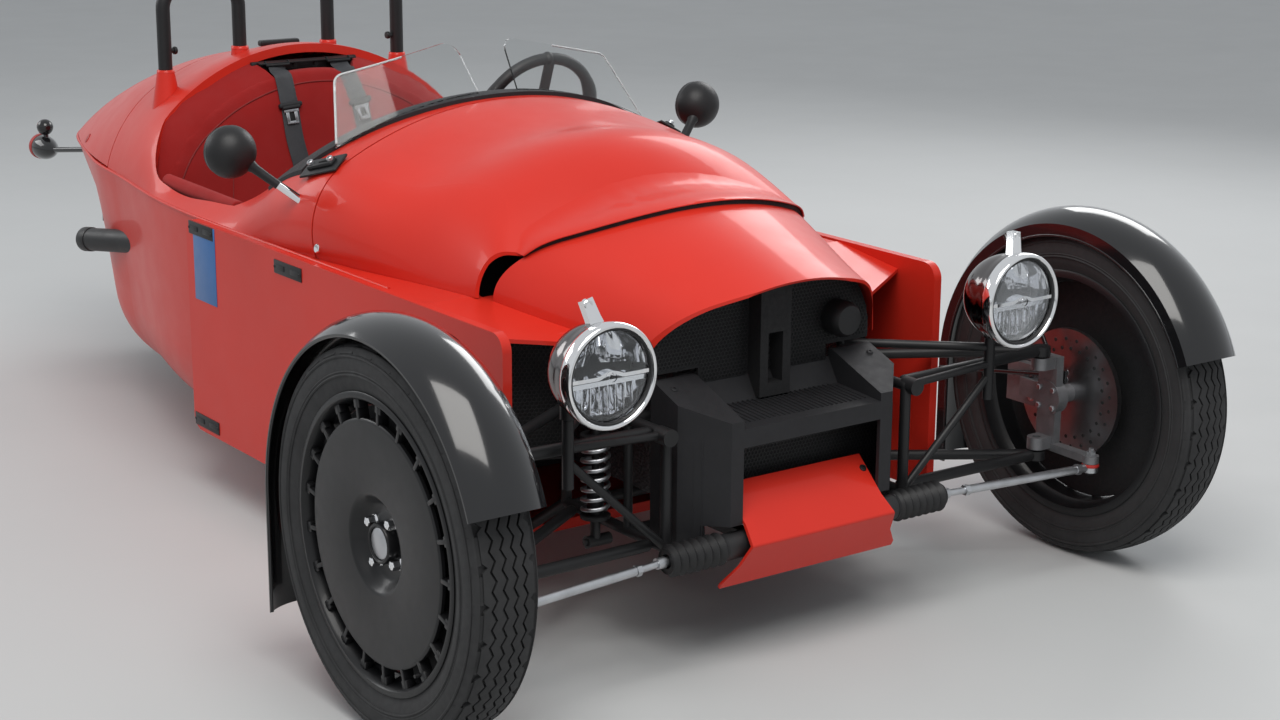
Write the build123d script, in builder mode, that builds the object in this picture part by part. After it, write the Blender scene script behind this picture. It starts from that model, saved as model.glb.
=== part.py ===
import os
from math import asin, atan2, cos, pi, radians, sin, tan

from build123d import *

os.makedirs("parts", exist_ok=True)

# A three wheeled open two seater: two steered wheels in front, one driven wheel behind.
# All lengths are in millimetres. The car faces -Y, its left side is +X, the ground is Z = 0.
# The origin lies on the ground, on the centre line, halfway along the car.

# Overall size
LENGTH = 3581.0
WIDTH = 1850.0
HEIGHT = 1132.0

# General clearances
SEAT_GAP = 0.3
SHUT_GAP = 5.0
RUNNING_CLEARANCE = 0.05

# Front wheels, their wings and the steering geometry
WHEELBASE = 2500.0
FRONT_TYRE_RADIUS = 355.0
FRONT_TYRE_WIDTH = 130.0
FRONT_RIM_RADIUS = 268.0
FRONT_WHEEL_X = 852.0
KINGPIN_X = 715.0
WING_RADIUS = 400.0
WING_THICKNESS = 4.0
WING_WIDTH = 150.0
WING_LIP_DROP = 30.0
WING_SKIRT = 28.0
WING_FRONT_ANGLE = 22.0
WING_REAR_DROP = 238.0
FRONT_AXLE_Y = WING_RADIUS * cos(radians(WING_FRONT_ANGLE)) - LENGTH / 2

# Rear wheel
REAR_TYRE_RADIUS = 317.0
REAR_TYRE_WIDTH = 195.0
REAR_RIM_RADIUS = 198.0

# Body
BELT_Z = 643.0
SKIN = 6.0
WALL = 22.0
LEDGE = 12.0


def aft(distance):
    """Y of a place given by its distance behind the front axle."""
    return FRONT_AXLE_Y + distance


def cross_plane(distance):
    """Upright plane across the car, with local x along X and local y along Z."""
    return Plane(origin=(0, aft(distance), 0), x_dir=(1, 0, 0), z_dir=(0, -1, 0))


def side_plane(x):
    """Upright plane along the car, with local x along Y and local y along Z."""
    return Plane(origin=(x, 0, 0), x_dir=(0, 1, 0), z_dir=(1, 0, 0))


def add_bar(start, end, radius, mode=Mode.ADD):
    """Adds or cuts a straight round bar between two points."""
    axis = Vector(*end) - Vector(*start)
    with BuildSketch(Plane(origin=start, z_dir=axis)) as bar:
        Circle(radius)
    extrude(bar.sketch, amount=axis.length, mode=mode)


def add_block(x_range, y_range, z_range, mode=Mode.ADD):
    """Adds or cuts a box given by its limits along X, Y and Z."""
    size = [high - low for low, high in (x_range, y_range, z_range)]
    middle = [(high + low) / 2 for low, high in (x_range, y_range, z_range)]
    with Locations(tuple(middle)):
        Box(*size, mode=mode)


def save(name, piece):
    """Labels a finished piece and writes its file."""
    piece.label = name
    export_step(piece, f"parts/{name}.step")


# Body sections. Each outline is a belt line, two side arcs and a crown arc that meet smoothly.
# Columns: behind the front axle, half width, lower edge Z, crown Z, crown radius, shoulder half width
NOSE_SECTIONS = [
    (-110, 250, 545, 708, 400, 165),
    (60, 290, 555, 756, 430, 200),
    (250, 350, 600, 812, 560, 262),
    (460, 408, 640, 858, 720, 330),
]
UPPER_SECTIONS = [
    (200, 350, 590, 824, 540, 260),
    (450, 425, BELT_Z, 873, 720, 335),
    (700, 470, BELT_Z, 912, 850, 385),
    (950, 508, BELT_Z, 940, 950, 430),
    (1150, 520, BELT_Z, 912, 900, 425),
    (1320, 523, BELT_Z, 825, 950, 450),
    (1500, 523, BELT_Z, 795, 1000, 462),
    (1720, 508, BELT_Z, 830, 800, 445),
    (1900, 483, BELT_Z, 952, 600, 360),
    (2090, 453, BELT_Z, 943, 560, 325),
    (2300, 417, BELT_Z, 908, 500, 285),
    (2500, 372, BELT_Z, 862, 430, 240),
    (2700, 308, BELT_Z, 800, 380, 185),
    (2840, 240, BELT_Z, 745, 320, 130),
    (2920, 150, BELT_Z, 704, 220, 80),
    (2955, 70, BELT_Z, 676, 110, 40),
]

# Columns: behind the front axle, half width, foot Z, foot half width, bottom half width, bottom Z
LOWER_SECTIONS = [
    (450, 523, 300, 520, 400, 115),
    (800, 523, 300, 520, 400, 115),
    (1150, 523, 300, 520, 400, 115),
    (1480, 523, 300, 518, 395, 115),
    (1800, 499, 295, 485, 355, 115),
    (2120, 449, 290, 418, 300, 118),
    (2400, 398, 320, 345, 250, 160),
    (2600, 340, 380, 258, 205, 240),
    (2800, 262, 440, 200, 160, 340),
    (2920, 152, 520, 122, 70, 430),
    (2957, 72, 590, 62, 30, 530),
]


def upper_outline(section, inset=0.0):
    """Draws one closed cross section above the belt in the open line."""
    _, half, edge_z, crown_z, radius, shoulder = section
    shoulder = shoulder * (half - inset) / half
    half, radius = half - inset, radius - inset
    edge_z, crown_z = edge_z - inset, crown_z - inset
    lean = asin(shoulder / radius)
    shoulder_z = crown_z - radius * (1 - cos(lean))
    rise, run = edge_z - shoulder_z, half - shoulder
    side_radius = -(run**2 + rise**2) / (2 * (run * sin(lean) + rise * cos(lean)))
    centre_x = shoulder - side_radius * sin(lean)
    centre_z = shoulder_z - side_radius * cos(lean)
    edge_angle = atan2(edge_z - centre_z, half - centre_x)
    middle_angle = (edge_angle + pi / 2 - lean) / 2
    middle_x = centre_x + side_radius * cos(middle_angle)
    middle_z = centre_z + side_radius * sin(middle_angle)
    Line((-half, edge_z), (half, edge_z))
    ThreePointArc((half, edge_z), (middle_x, middle_z), (shoulder, shoulder_z))
    ThreePointArc((shoulder, shoulder_z), (0, crown_z), (-shoulder, shoulder_z))
    ThreePointArc((-shoulder, shoulder_z), (-middle_x, middle_z), (-half, edge_z))


def lower_outline(section, inset=0.0, top_z=BELT_Z):
    """Draws one closed cross section below the belt in the open line."""
    _, half, foot_z, foot, bottom, bottom_z = section
    half, foot, bottom = half - inset, foot - inset, bottom - inset / 2
    bottom_z = bottom_z + inset
    lean = (foot - half) / (foot_z - BELT_Z)
    top = half + lean * (top_z - BELT_Z)
    Line((-top, top_z), (top, top_z))
    Line((top, top_z), (foot, foot_z))
    bilge = TangentArc((foot, foot_z), (bottom, bottom_z), tangent=(foot - top, foot_z - top_z))
    middle = bilge @ 0.5
    Line((bottom, bottom_z), (-bottom, bottom_z))
    ThreePointArc((-bottom, bottom_z), (-middle.X, middle.Y), (-foot, foot_z))
    Line((-foot, foot_z), (-top, top_z))


def loft_sections(sections, outline, **options):
    """Lofts a solid through a table of sections in the open part."""
    faces = []
    for section in sections:
        with BuildSketch(cross_plane(section[0])) as slice_sketch:
            with BuildLine():
                outline(section, **options)
            make_face()
        faces.append(slice_sketch.sketch.face())
    loft(faces)


with BuildPart() as nose_hull:
    loft_sections(NOSE_SECTIONS, upper_outline)
with BuildPart() as nose_core:
    loft_sections(NOSE_SECTIONS, upper_outline, inset=SKIN)
with BuildPart() as upper_hull:
    loft_sections(UPPER_SECTIONS, upper_outline)
with BuildPart() as upper_core:
    loft_sections(UPPER_SECTIONS, upper_outline, inset=SKIN)
with BuildPart() as upper_thick_core:
    loft_sections(UPPER_SECTIONS, upper_outline, inset=WALL)
with BuildPart() as lower_hull:
    loft_sections(LOWER_SECTIONS, lower_outline)

# Plan outlines of the shut lines and openings
NOSE_LIP_CROWN = -70.0
NOSE_LIP_SIDE = (280.0, 55.0)
BONNET_FRONT_CROWN = 250.0
BONNET_FRONT_SIDE = (400.0, 420.0)
BONNET_REAR_CROWN = 965.0
BONNET_REAR_SIDE = (510.0, 935.0)
COCKPIT_FRONT = 1105.0
COCKPIT_HALF = 478.0
COCKPIT_REAR = 1945.0
LID_FRONT_CROWN = 2250.0
LID_FRONT_SIDE = (420.0, 2205.0)
HIGH = 1400.0
BODY_FRONT = 450.0


def plan_arc(crown, side, gap=0.0):
    """Plan arc across the car through a crown point and two like side points."""
    reach, depth = side
    return ThreePointArc((-reach, aft(depth) + gap), (0, aft(crown) + gap), (reach, aft(depth) + gap))


def add_region(crown, side, far, gap=0.0):
    """Adds the plan region between an arc across the car and a straight line at far."""
    with BuildSketch(Plane.XY.offset(0)) as region:
        with BuildLine():
            arc = plan_arc(crown, side, gap)
            slope = (side[1] - crown) / side[0]
            wide = (side[0] + 200, aft(side[1]) + 200 * slope * 1.6 + gap)
            Polyline(arc @ 1, wide, (wide[0], far), (-wide[0], far), (-wide[0], wide[1]), arc @ 0)
        make_face()
    extrude(region.sketch, amount=HIGH)


with BuildPart() as ahead_of_bonnet:
    add_region(BONNET_FRONT_CROWN, BONNET_FRONT_SIDE, aft(-500), -SHUT_GAP)
with BuildPart() as behind_nose_edge:
    add_region(BONNET_FRONT_CROWN, BONNET_FRONT_SIDE, aft(3000))
with BuildPart() as ahead_of_scuttle:
    add_region(BONNET_REAR_CROWN, BONNET_REAR_SIDE, aft(-500), -SHUT_GAP / 2)
with BuildPart() as behind_bonnet:
    add_region(BONNET_REAR_CROWN, BONNET_REAR_SIDE, aft(3000), SHUT_GAP / 2)
with BuildPart() as ahead_of_lid:
    add_region(LID_FRONT_CROWN, LID_FRONT_SIDE, aft(-500), -SHUT_GAP / 2)
with BuildPart() as behind_deck:
    add_region(LID_FRONT_CROWN, LID_FRONT_SIDE, aft(3200), SHUT_GAP / 2)

# Nose cowl: open in front and below, with a lip that sweeps back to the sides
with BuildPart() as nose_cowl:
    add(nose_hull.part)
    add(nose_core.part, mode=Mode.SUBTRACT)
    with BuildSketch(Plane.XY):
        with BuildLine():
            lip = plan_arc(NOSE_LIP_CROWN, NOSE_LIP_SIDE)
            corner_x = BONNET_FRONT_SIDE[0] + 60
            lip_back = aft(NOSE_LIP_SIDE[1]) + 150
            Polyline(lip @ 1, (corner_x, lip_back), (corner_x, aft(460)))
            Polyline((corner_x, aft(460)), (-corner_x, aft(460)), (-corner_x, lip_back), lip @ 0)
        make_face()
    extrude(amount=HIGH, mode=Mode.INTERSECT)
    with BuildSketch(side_plane(0)):
        with BuildLine():
            Polyline(
                (aft(NOSE_LIP_CROWN), 730),
                (aft(NOSE_LIP_CROWN) + 130, 535),
                (aft(500), 535),
                (aft(500), 1000),
                (aft(NOSE_LIP_CROWN), 1000),
                close=True,
            )
        make_face()
    extrude(amount=WIDTH / 2, both=True, mode=Mode.INTERSECT)
    add(ahead_of_bonnet.part, mode=Mode.INTERSECT)
save("nose_cowl", nose_cowl.part)

# Bonnet: a one piece skin over the engine
with BuildPart() as bonnet:
    add(upper_hull.part)
    add(upper_core.part, mode=Mode.SUBTRACT)
    add(behind_nose_edge.part, mode=Mode.INTERSECT)
    add(ahead_of_scuttle.part, mode=Mode.INTERSECT)
    add_block((-600, 600), (aft(BODY_FRONT) - SHUT_GAP, aft(1200)), (0, BELT_Z + SEAT_GAP), Mode.SUBTRACT)
save("bonnet", bonnet.part)

# Scuttle, cockpit surround and rear deck in one panel
with BuildPart() as cockpit_hole:
    with BuildSketch(Plane.XY.offset(BELT_Z - 40)):
        with BuildLine():
            front = plan_arc(COCKPIT_FRONT, (430, 1245))
            right = Line(front @ 1, (COCKPIT_HALF, aft(1380)))
            right_side = Line(right @ 1, (COCKPIT_HALF, aft(1760)))
            right_rear = TangentArc(right_side @ 1, (395, aft(1920)), tangent=(0, 1))
            rear = ThreePointArc(right_rear @ 1, (0, aft(COCKPIT_REAR)), (-395, aft(1920)))
            middle = right_rear @ 0.5
            left_rear = ThreePointArc(rear @ 1, (-middle.X, middle.Y), (-COCKPIT_HALF, aft(1760)))
            left_side = Line(left_rear @ 1, (-COCKPIT_HALF, aft(1380)))
            Line(left_side @ 1, front @ 0)
        make_face()
    extrude(amount=HIGH)
with BuildPart() as body_upper:
    add(upper_hull.part)
    add(upper_thick_core.part, mode=Mode.SUBTRACT)
    add(behind_bonnet.part, mode=Mode.INTERSECT)
    add(ahead_of_lid.part, mode=Mode.INTERSECT)
    add(cockpit_hole.part, mode=Mode.SUBTRACT)
    add_block((-600, 600), (aft(800), aft(2400)), (0, BELT_Z + SEAT_GAP), Mode.SUBTRACT)
save("body_upper", body_upper.part)

# Boot lid: the whole tail top, hinged at its rear tip
LID_HINGE_Y = aft(2945)
LID_HINGE_Z = BELT_Z + 25
LID_PIN_RADIUS = 4.0
LID_LUG_RADIUS = 10.0
LID_LUG_X = (14.0, 26.0)
LID_POST_X = 12.0
LID_POST_Y = (-7.0, 2.0)
with BuildPart() as boot_lid:
    add(upper_hull.part)
    add(upper_core.part, mode=Mode.SUBTRACT)
    add(behind_deck.part, mode=Mode.INTERSECT)
    add_block((-600, 600), (aft(2000), aft(3200)), (BELT_Z - 50, BELT_Z + SHUT_GAP), Mode.SUBTRACT)
    add_block((-600, 600), (aft(2900), aft(3200)), (BELT_Z - 50, BELT_Z + 12), Mode.SUBTRACT)
    for side in (-1, 1):
        inner, outer = (side * x for x in LID_LUG_X)
        with BuildSketch(side_plane(min(inner, outer))) as lug:
            with Locations((LID_HINGE_Y, LID_HINGE_Z)):
                Circle(LID_LUG_RADIUS)
                Rectangle(2 * LID_LUG_RADIUS, 30, align=(Align.CENTER, Align.MIN))
                Circle(LID_PIN_RADIUS + RUNNING_CLEARANCE, mode=Mode.SUBTRACT)
        extrude(lug.sketch, amount=abs(outer - inner))
    add(upper_hull.part, mode=Mode.INTERSECT)
save("boot_lid", boot_lid.part)

# Lower body: a hollow tub from the engine bay to the tail, with a slot for the rear wheel
FLOOR_Z = LOWER_SECTIONS[0][5]
WELL_HALF = 165.0
WELL_RADIUS = 350.0
with BuildPart() as lower_core:
    loft_sections(LOWER_SECTIONS[:-1], lower_outline, inset=WALL, top_z=BELT_Z - LEDGE)
with BuildPart() as belt_opening:
    with BuildSketch(Plane.XY.offset(BELT_Z - LEDGE - 1)):
        with BuildLine():
            rail = [(half - WALL, aft(y)) for y, half, *_ in UPPER_SECTIONS[1:-1]]
            Polyline(*rail, *[(-x, y) for x, y in reversed(rail)], close=True)
        make_face()
    extrude(amount=2 * LEDGE)
WELL_FRONT = WHEELBASE - WELL_RADIUS
WELL_REAR_HALF = 130.0
WELL_STEP = 2600.0
PIVOT_Y = 2165.0
PIVOT_Z = 297.0
PIVOT_RADIUS = 18.0
EAR_X = (150.0, 165.0)


def add_well_plan(shrink=0.0):
    """Draws the plan of the rear wheel well in the open line."""
    wide, narrow = WELL_HALF - shrink, WELL_REAR_HALF - shrink
    front, step = aft(WELL_FRONT + shrink), aft(WELL_STEP - shrink)
    rear = aft(WHEELBASE + WELL_RADIUS - shrink)
    right = [(wide, front), (wide, step), (narrow, step), (narrow, rear)]
    Polyline(*right, *[(-x, y) for x, y in reversed(right)], close=True)


with BuildPart() as rear_bulkhead:
    add_block((-600, 600), (aft(WELL_FRONT - 28), aft(WELL_FRONT - 6)), (FLOOR_Z, BELT_Z - LEDGE))
    for x_pair in (EAR_X, [-x for x in reversed(EAR_X)]):
        add_block(x_pair, (aft(WELL_FRONT - 7), aft(PIVOT_Y + 20)), (PIVOT_Z - 20, PIVOT_Z + 20))
    add(lower_hull.part, mode=Mode.INTERSECT)
with BuildPart() as body_lower:
    add(lower_hull.part)
    add(lower_core.part, mode=Mode.SUBTRACT)
    add(belt_opening.part, mode=Mode.SUBTRACT)
    with BuildSketch(Plane.XY):
        with BuildLine():
            add_well_plan()
        make_face()
    extrude(amount=560, mode=Mode.SUBTRACT)
    add(rear_bulkhead.part)
    post_y = [LID_HINGE_Y + y for y in LID_POST_Y]
    add_block((-LID_POST_X, LID_POST_X), post_y, (BELT_Z, LID_HINGE_Z))
    pin_right, pin_left = ((x, LID_HINGE_Y, LID_HINGE_Z) for x in (-LID_LUG_X[1], LID_LUG_X[1]))
    add_bar(pin_right, pin_left, LID_PIN_RADIUS)
save("body_lower", body_lower.part)


# Sideblades: flat panels that stand off both flanks, with rounded corners
BLADE_X = 530.0
BLADE_THICKNESS = 20.0
BLADE_FRONT = 140.0
BLADE_REAR = 1485.0
BLADE_BOTTOM = 145.0
BLADE_TOP = 646.0
BLADE_CORNER = 35.0
BLADE_INSET = BLADE_X - 523.0
with BuildPart() as sideblades:
    for side in (-1, 1):
        with BuildSketch(side_plane(side * BLADE_X)) as blade:
            with Locations(((aft(BLADE_FRONT) + aft(BLADE_REAR)) / 2, (BLADE_BOTTOM + BLADE_TOP) / 2)):
                RectangleRounded(BLADE_REAR - BLADE_FRONT, BLADE_TOP - BLADE_BOTTOM, BLADE_CORNER)
        extrude(blade.sketch, amount=side * BLADE_THICKNESS)
        for y in (600, 1350):
            for z in (330, 600):
                add_bar((side * (BLADE_X - BLADE_INSET), aft(y), z), (side * BLADE_X, aft(y), z), 16)
    add(lower_hull.part, mode=Mode.SUBTRACT)
save("sideblades", sideblades.part)

# Side ducts: sloping roofs between the nose and the sideblades
DUCT_FRONT_Z = 595.0
DUCT_THICKNESS = 8.0
DUCT_INNER_FRONT = (270.0, 100.0)
DUCT_OUTER_FRONT = (BLADE_X, 255.0)
DUCT_REAR = BODY_FRONT
with BuildPart() as side_ducts:
    with BuildSketch(side_plane(0)):
        with BuildLine():
            front_y, rear_y = aft(DUCT_INNER_FRONT[1]), aft(DUCT_REAR)
            Polyline(
                (front_y, DUCT_FRONT_Z - DUCT_THICKNESS),
                (rear_y, BELT_Z - DUCT_THICKNESS),
                (rear_y, BELT_Z),
                (front_y, DUCT_FRONT_Z),
                close=True,
            )
        make_face()
    extrude(amount=BLADE_X, both=True)
    with BuildSketch(Plane.XY):
        for side in (-1, 1):
            with BuildLine():
                Polyline(
                    (side * DUCT_INNER_FRONT[0], aft(DUCT_INNER_FRONT[1])),
                    (side * DUCT_OUTER_FRONT[0], aft(DUCT_OUTER_FRONT[1])),
                    (side * BLADE_X, rear_y),
                    (side * DUCT_INNER_FRONT[0], rear_y),
                    close=True,
                )
            make_face()
    extrude(amount=HIGH, mode=Mode.INTERSECT)
    add(nose_hull.part, mode=Mode.SUBTRACT)
    add(upper_hull.part, mode=Mode.SUBTRACT)
save("side_ducts", side_ducts.part)

# Front frame: a tubular box ahead of the engine, with the lamp outriggers
FRAME_X = 300.0
FRAME_FRONT = -30.0
FRAME_BEND = 300.0
FRAME_LOW = 235.0
FRAME_HIGH = 457.0
RAIL_RADIUS = 11.0
LAMP_POST_X = 525.0
LAMP_POST_Y = -36.0
LAMP_POST_RADIUS = 11.0
LAMP_POST_TOP = 525.0
LAMP_POST_BOTTOM = 395.0
ENGINE_TOP = 720.0
with BuildPart() as front_frame:
    for side in (-1, 1):
        x = side * FRAME_X
        low_front = (x, aft(FRAME_FRONT), FRAME_LOW)
        low_bend = (x, aft(FRAME_BEND), FRAME_LOW)
        high_front = (x, aft(FRAME_FRONT), FRAME_HIGH)
        high_bend = (x, aft(FRAME_BEND), FRAME_HIGH)
        lamp = side * LAMP_POST_X
        post_foot, post_top = ((lamp, aft(LAMP_POST_Y), z) for z in (LAMP_POST_BOTTOM, LAMP_POST_TOP))
        for start, end, radius in (
            (low_front, low_bend, RAIL_RADIUS),
            (low_bend, (side * 330, aft(BODY_FRONT), FLOOR_Z + RAIL_RADIUS), RAIL_RADIUS),
            (high_front, high_bend, RAIL_RADIUS),
            (high_bend, (side * 505, aft(BODY_FRONT), FRAME_HIGH), RAIL_RADIUS),
            (low_front, high_front, RAIL_RADIUS),
            (low_bend, high_bend, RAIL_RADIUS),
            ((x, aft(90), FRAME_LOW), (x, aft(90), FRAME_HIGH), 9),
            (post_foot, post_top, LAMP_POST_RADIUS),
            ((x, aft(170), FRAME_HIGH), (x, aft(170), LAMP_POST_TOP - 20), 9),
            ((x, aft(170), LAMP_POST_TOP - 20), (lamp, aft(LAMP_POST_Y), LAMP_POST_TOP - 20), 9),
            (high_front, (lamp, aft(LAMP_POST_Y), 470), 8),
            (low_front, (lamp, aft(LAMP_POST_Y), 445), 8),
        ):
            add_bar(start, end, radius)
        for joint in (low_front, low_bend, high_front, high_bend, (x, aft(170), LAMP_POST_TOP - 20)):
            with Locations(joint):
                Sphere(RAIL_RADIUS)
        knob = side * (FRAME_X + 8)
        add_bar((knob, aft(FRAME_FRONT) - 26, FRAME_HIGH), (knob, aft(FRAME_FRONT) + 10, FRAME_HIGH), 17)
    for y, z in ((90, FRAME_LOW), (90, FRAME_HIGH), (FRAME_BEND - 20, FRAME_LOW)):
        add_bar((-FRAME_X, aft(y), z), (FRAME_X, aft(y), z), RAIL_RADIUS)
    add_block((-600, 600), (aft(BODY_FRONT) - SEAT_GAP, aft(BODY_FRONT) + 50), (0, 700), Mode.SUBTRACT)
save("front_frame", front_frame.part)

# Engine: one plain block between the frame rails
with BuildPart() as engine:
    add_block((-150, 150), (aft(150), aft(700)), (FRAME_LOW + RAIL_RADIUS + SEAT_GAP, ENGINE_TOP))
save("engine", engine.part)

# Front shroud: a moulded shelf over two cheeks that flank the lower mesh
SHROUD_HALF = 270.0
SHELF_FRONT = -100.0
SHROUD_WALL = 7.0
COVER_TOP_HALF = 170.0
with BuildPart() as front_shroud:
    with BuildSketch(Plane.XY.offset(205)):
        with BuildLine():
            Polyline(
                (-SHROUD_HALF, aft(60)),
                (-SHROUD_HALF, aft(-25)),
                (-200, aft(SHELF_FRONT)),
                (200, aft(SHELF_FRONT)),
                (SHROUD_HALF, aft(-25)),
                (SHROUD_HALF, aft(60)),
                close=True,
            )
        make_face()
    extrude(amount=330)
    with BuildSketch(side_plane(0)):
        with BuildLine():
            low_side = [(aft(-120), 460), (aft(30), 470), (aft(70), 535)]
            Polyline(*low_side, (aft(70), 600), (aft(-120), 600), close=True)
        make_face()
    extrude(amount=170, both=True, mode=Mode.SUBTRACT)
    with BuildSketch(side_plane(0)):
        with BuildLine():
            Polyline((aft(-120), 470), (aft(50), 535), (aft(50), 600), (aft(-120), 600), close=True)
        make_face()
    extrude(amount=400, both=True, mode=Mode.SUBTRACT)
    inner = SHROUD_HALF - SHROUD_WALL
    with BuildSketch(Plane.XY.offset(200)):
        with BuildLine():
            Polyline(
                (-inner, aft(70)),
                (-inner, aft(-22)),
                (-196, aft(SHELF_FRONT) + 9),
                (196, aft(SHELF_FRONT) + 9),
                (inner, aft(-22)),
                (inner, aft(70)),
                close=True,
            )
        make_face()
    extrude(amount=245, mode=Mode.SUBTRACT)
    cover_half = COVER_TOP_HALF + SEAT_GAP
    add_block((-cover_half, cover_half), (aft(-130), aft(-20)), (190, 425), Mode.SUBTRACT)
    add_block((-400, 400), (aft(-130), aft(-58)), (190, 275), Mode.SUBTRACT)
save("front_shroud", front_shroud.part)

# Grille meshes: upper, lower and one in each side duct, with the upright bracket in the middle
MESH = 4.0
with BuildPart() as grilles:
    with BuildSketch(cross_plane(62)) as upper_mesh:
        with BuildLine():
            lip_left = (-270, 545)
            Polyline((270, 545), lip_left)
            ThreePointArc(lip_left, (-250, 643), (-150, 720))
            ThreePointArc((-150, 720), (0, 748), (150, 720))
            ThreePointArc((150, 720), (250, 643), (270, 545))
        make_face()
    extrude(upper_mesh.sketch, amount=MESH)
    add_block((-160, 160), (aft(62) - MESH, aft(62)), (474, 545))
    mesh_half = SHROUD_HALF - SHROUD_WALL - SEAT_GAP
    add_block((-mesh_half, mesh_half), (aft(-12), aft(-12) + MESH), (277, 424))
    add_block((-38, 38), (aft(20), aft(62) - MESH), (474, 735))
    add_block((-18, 18), (aft(0), aft(62) - MESH), (500, 600), Mode.SUBTRACT)
    for side in (-1, 1):
        with BuildSketch(Plane.XY.offset(340)) as side_mesh:
            with BuildLine():
                Polyline(
                    (side * 330, aft(265)),
                    (side * (BLADE_X - SEAT_GAP), aft(350)),
                    (side * (BLADE_X - SEAT_GAP), aft(350) + MESH),
                    (side * 330, aft(265) + MESH),
                    close=True,
                )
            make_face()
        extrude(side_mesh.sketch, amount=DUCT_FRONT_Z - DUCT_THICKNESS + 5 - 340)
    add(front_shroud.part, mode=Mode.SUBTRACT)
    add(nose_cowl.part, mode=Mode.SUBTRACT)
save("grilles", grilles.part)

# Steering rack housing with its two bellows
RACK_Y = -93.0
RACK_Z = 235.0
RACK_RADIUS = 12.0
BELLOWS_RADIUS = 32.0
BELLOWS_END = 344.0
HOUSING_HALF = 215.0
BELLOWS_RIBS = 7
with BuildPart() as rack_housing:
    with BuildSketch(Plane(origin=(0, aft(RACK_Y), RACK_Z), x_dir=(1, 0, 0), z_dir=(0, 0, 1))) as tube:
        with Locations((0, 0)):
            Rectangle(2 * HOUSING_HALF, 26, align=(Align.CENTER, Align.MIN))
        for side in (-1, 1):
            pitch = (BELLOWS_END - HOUSING_HALF) / BELLOWS_RIBS
            for rib in range(BELLOWS_RIBS):
                start = side * (HOUSING_HALF + rib * pitch)
                with BuildLine():
                    Polyline(
                        (start, 0),
                        (start, BELLOWS_RADIUS - 9),
                        (start + side * pitch / 2, BELLOWS_RADIUS),
                        (start + side * pitch, BELLOWS_RADIUS - 9),
                        (start + side * pitch, 0),
                        close=True,
                    )
                make_face()
        Rectangle(2 * BELLOWS_END + 10, 2 * (RACK_RADIUS + 2), mode=Mode.SUBTRACT)
    revolve(tube.sketch, axis=Axis((0, aft(RACK_Y), RACK_Z), (1, 0, 0)))
    for side in (-1, 1):
        add_block((side * 130 - 12, side * 130 + 12), (aft(RACK_Y) + 22, aft(90) - RAIL_RADIUS), (225, 245))
save("rack_housing", rack_housing.part)

# Rack bar and tie rods: they slide together, and each rod ends in an eye under the steering arm
ARM_REACH = 130.0
ARM_X = KINGPIN_X + 30
EYE_RADIUS = 17.0
EYE_HALF_HEIGHT = 9.0
EYE_Z = 231.0
JOINT_RADIUS = 11.0
JOINT_LENGTH = 18.0
with BuildPart() as rack:
    bar_end = BELLOWS_END + 14
    add_bar((-bar_end, aft(RACK_Y), RACK_Z), (bar_end, aft(RACK_Y), RACK_Z), RACK_RADIUS - 3)
    for side in (-1, 1):
        eye = (side * ARM_X, aft(-ARM_REACH), EYE_Z)
        sleeve = (side * 420, aft(RACK_Y) - (ARM_REACH + RACK_Y) * 0.17, RACK_Z - 1)
        add_bar((side * bar_end, aft(RACK_Y), RACK_Z), sleeve, 7)
        add_bar(sleeve, eye, EYE_HALF_HEIGHT)
        with Locations(Location((side * bar_end, aft(RACK_Y), RACK_Z), (0, 90, 0))):
            Cylinder(JOINT_RADIUS, JOINT_LENGTH)
        with Locations(eye):
            Cylinder(EYE_RADIUS, 2 * EYE_HALF_HEIGHT)
save("rack", rack.part)

# Lower cover: a bent panel in front of the rack
with BuildPart() as lower_cover:
    with BuildSketch(side_plane(0)):
        with BuildLine():
            outer = Polyline((aft(-37), 336), (aft(-136), 243), (aft(-87), 157))
            offset(outer, amount=6, side=Side.RIGHT)
        make_face()
    extrude(amount=218, both=True)
    for side in (-1, 1):
        with BuildSketch(cross_plane(-200)) as corner:
            with BuildLine():
                top = side * COVER_TOP_HALF
                Polyline((top, 350), (top, 275), (side * 190, 200), (side * 218, 165))
                Polyline((side * 218, 165), (side * 240, 150), (side * 240, 350), (top, 350))
            make_face()
        extrude(corner.sketch, amount=-300, mode=Mode.SUBTRACT)
save("lower_cover", lower_cover.part)


# Wishbones: two legs each, from the frame to the kingpin line, with upright pins
LOWER_BALL_Z = 232.0
UPPER_BALL_Z = 462.0
PIN_RADIUS = 9.0
PIN_LENGTH = 24.0
UPRIGHT_BOTTOM = LOWER_BALL_Z + 14.0
UPRIGHT_TOP = UPPER_BALL_Z - 14.0
with BuildPart() as wishbones:
    for side in (-1, 1):
        frame_x = side * (FRAME_X + RAIL_RADIUS + SEAT_GAP)
        for z, ball_z, pin_way in ((FRAME_LOW, LOWER_BALL_Z, 1), (FRAME_HIGH, UPPER_BALL_Z, -1)):
            ball = (side * KINGPIN_X, aft(0), ball_z)
            for y, radius in ((0, 12), (250, 11)):
                add_bar((frame_x + side * radius, aft(y), z), ball, radius)
                with Locations((frame_x + side * radius, aft(y), z)):
                    Sphere(radius)
            with Locations(ball):
                Cylinder(20, 20)
            pin_end = ball_z + pin_way * (10 + PIN_LENGTH)
            add_bar(ball, (side * KINGPIN_X, aft(0), pin_end), PIN_RADIUS)
save("wishbones", wishbones.part)

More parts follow.
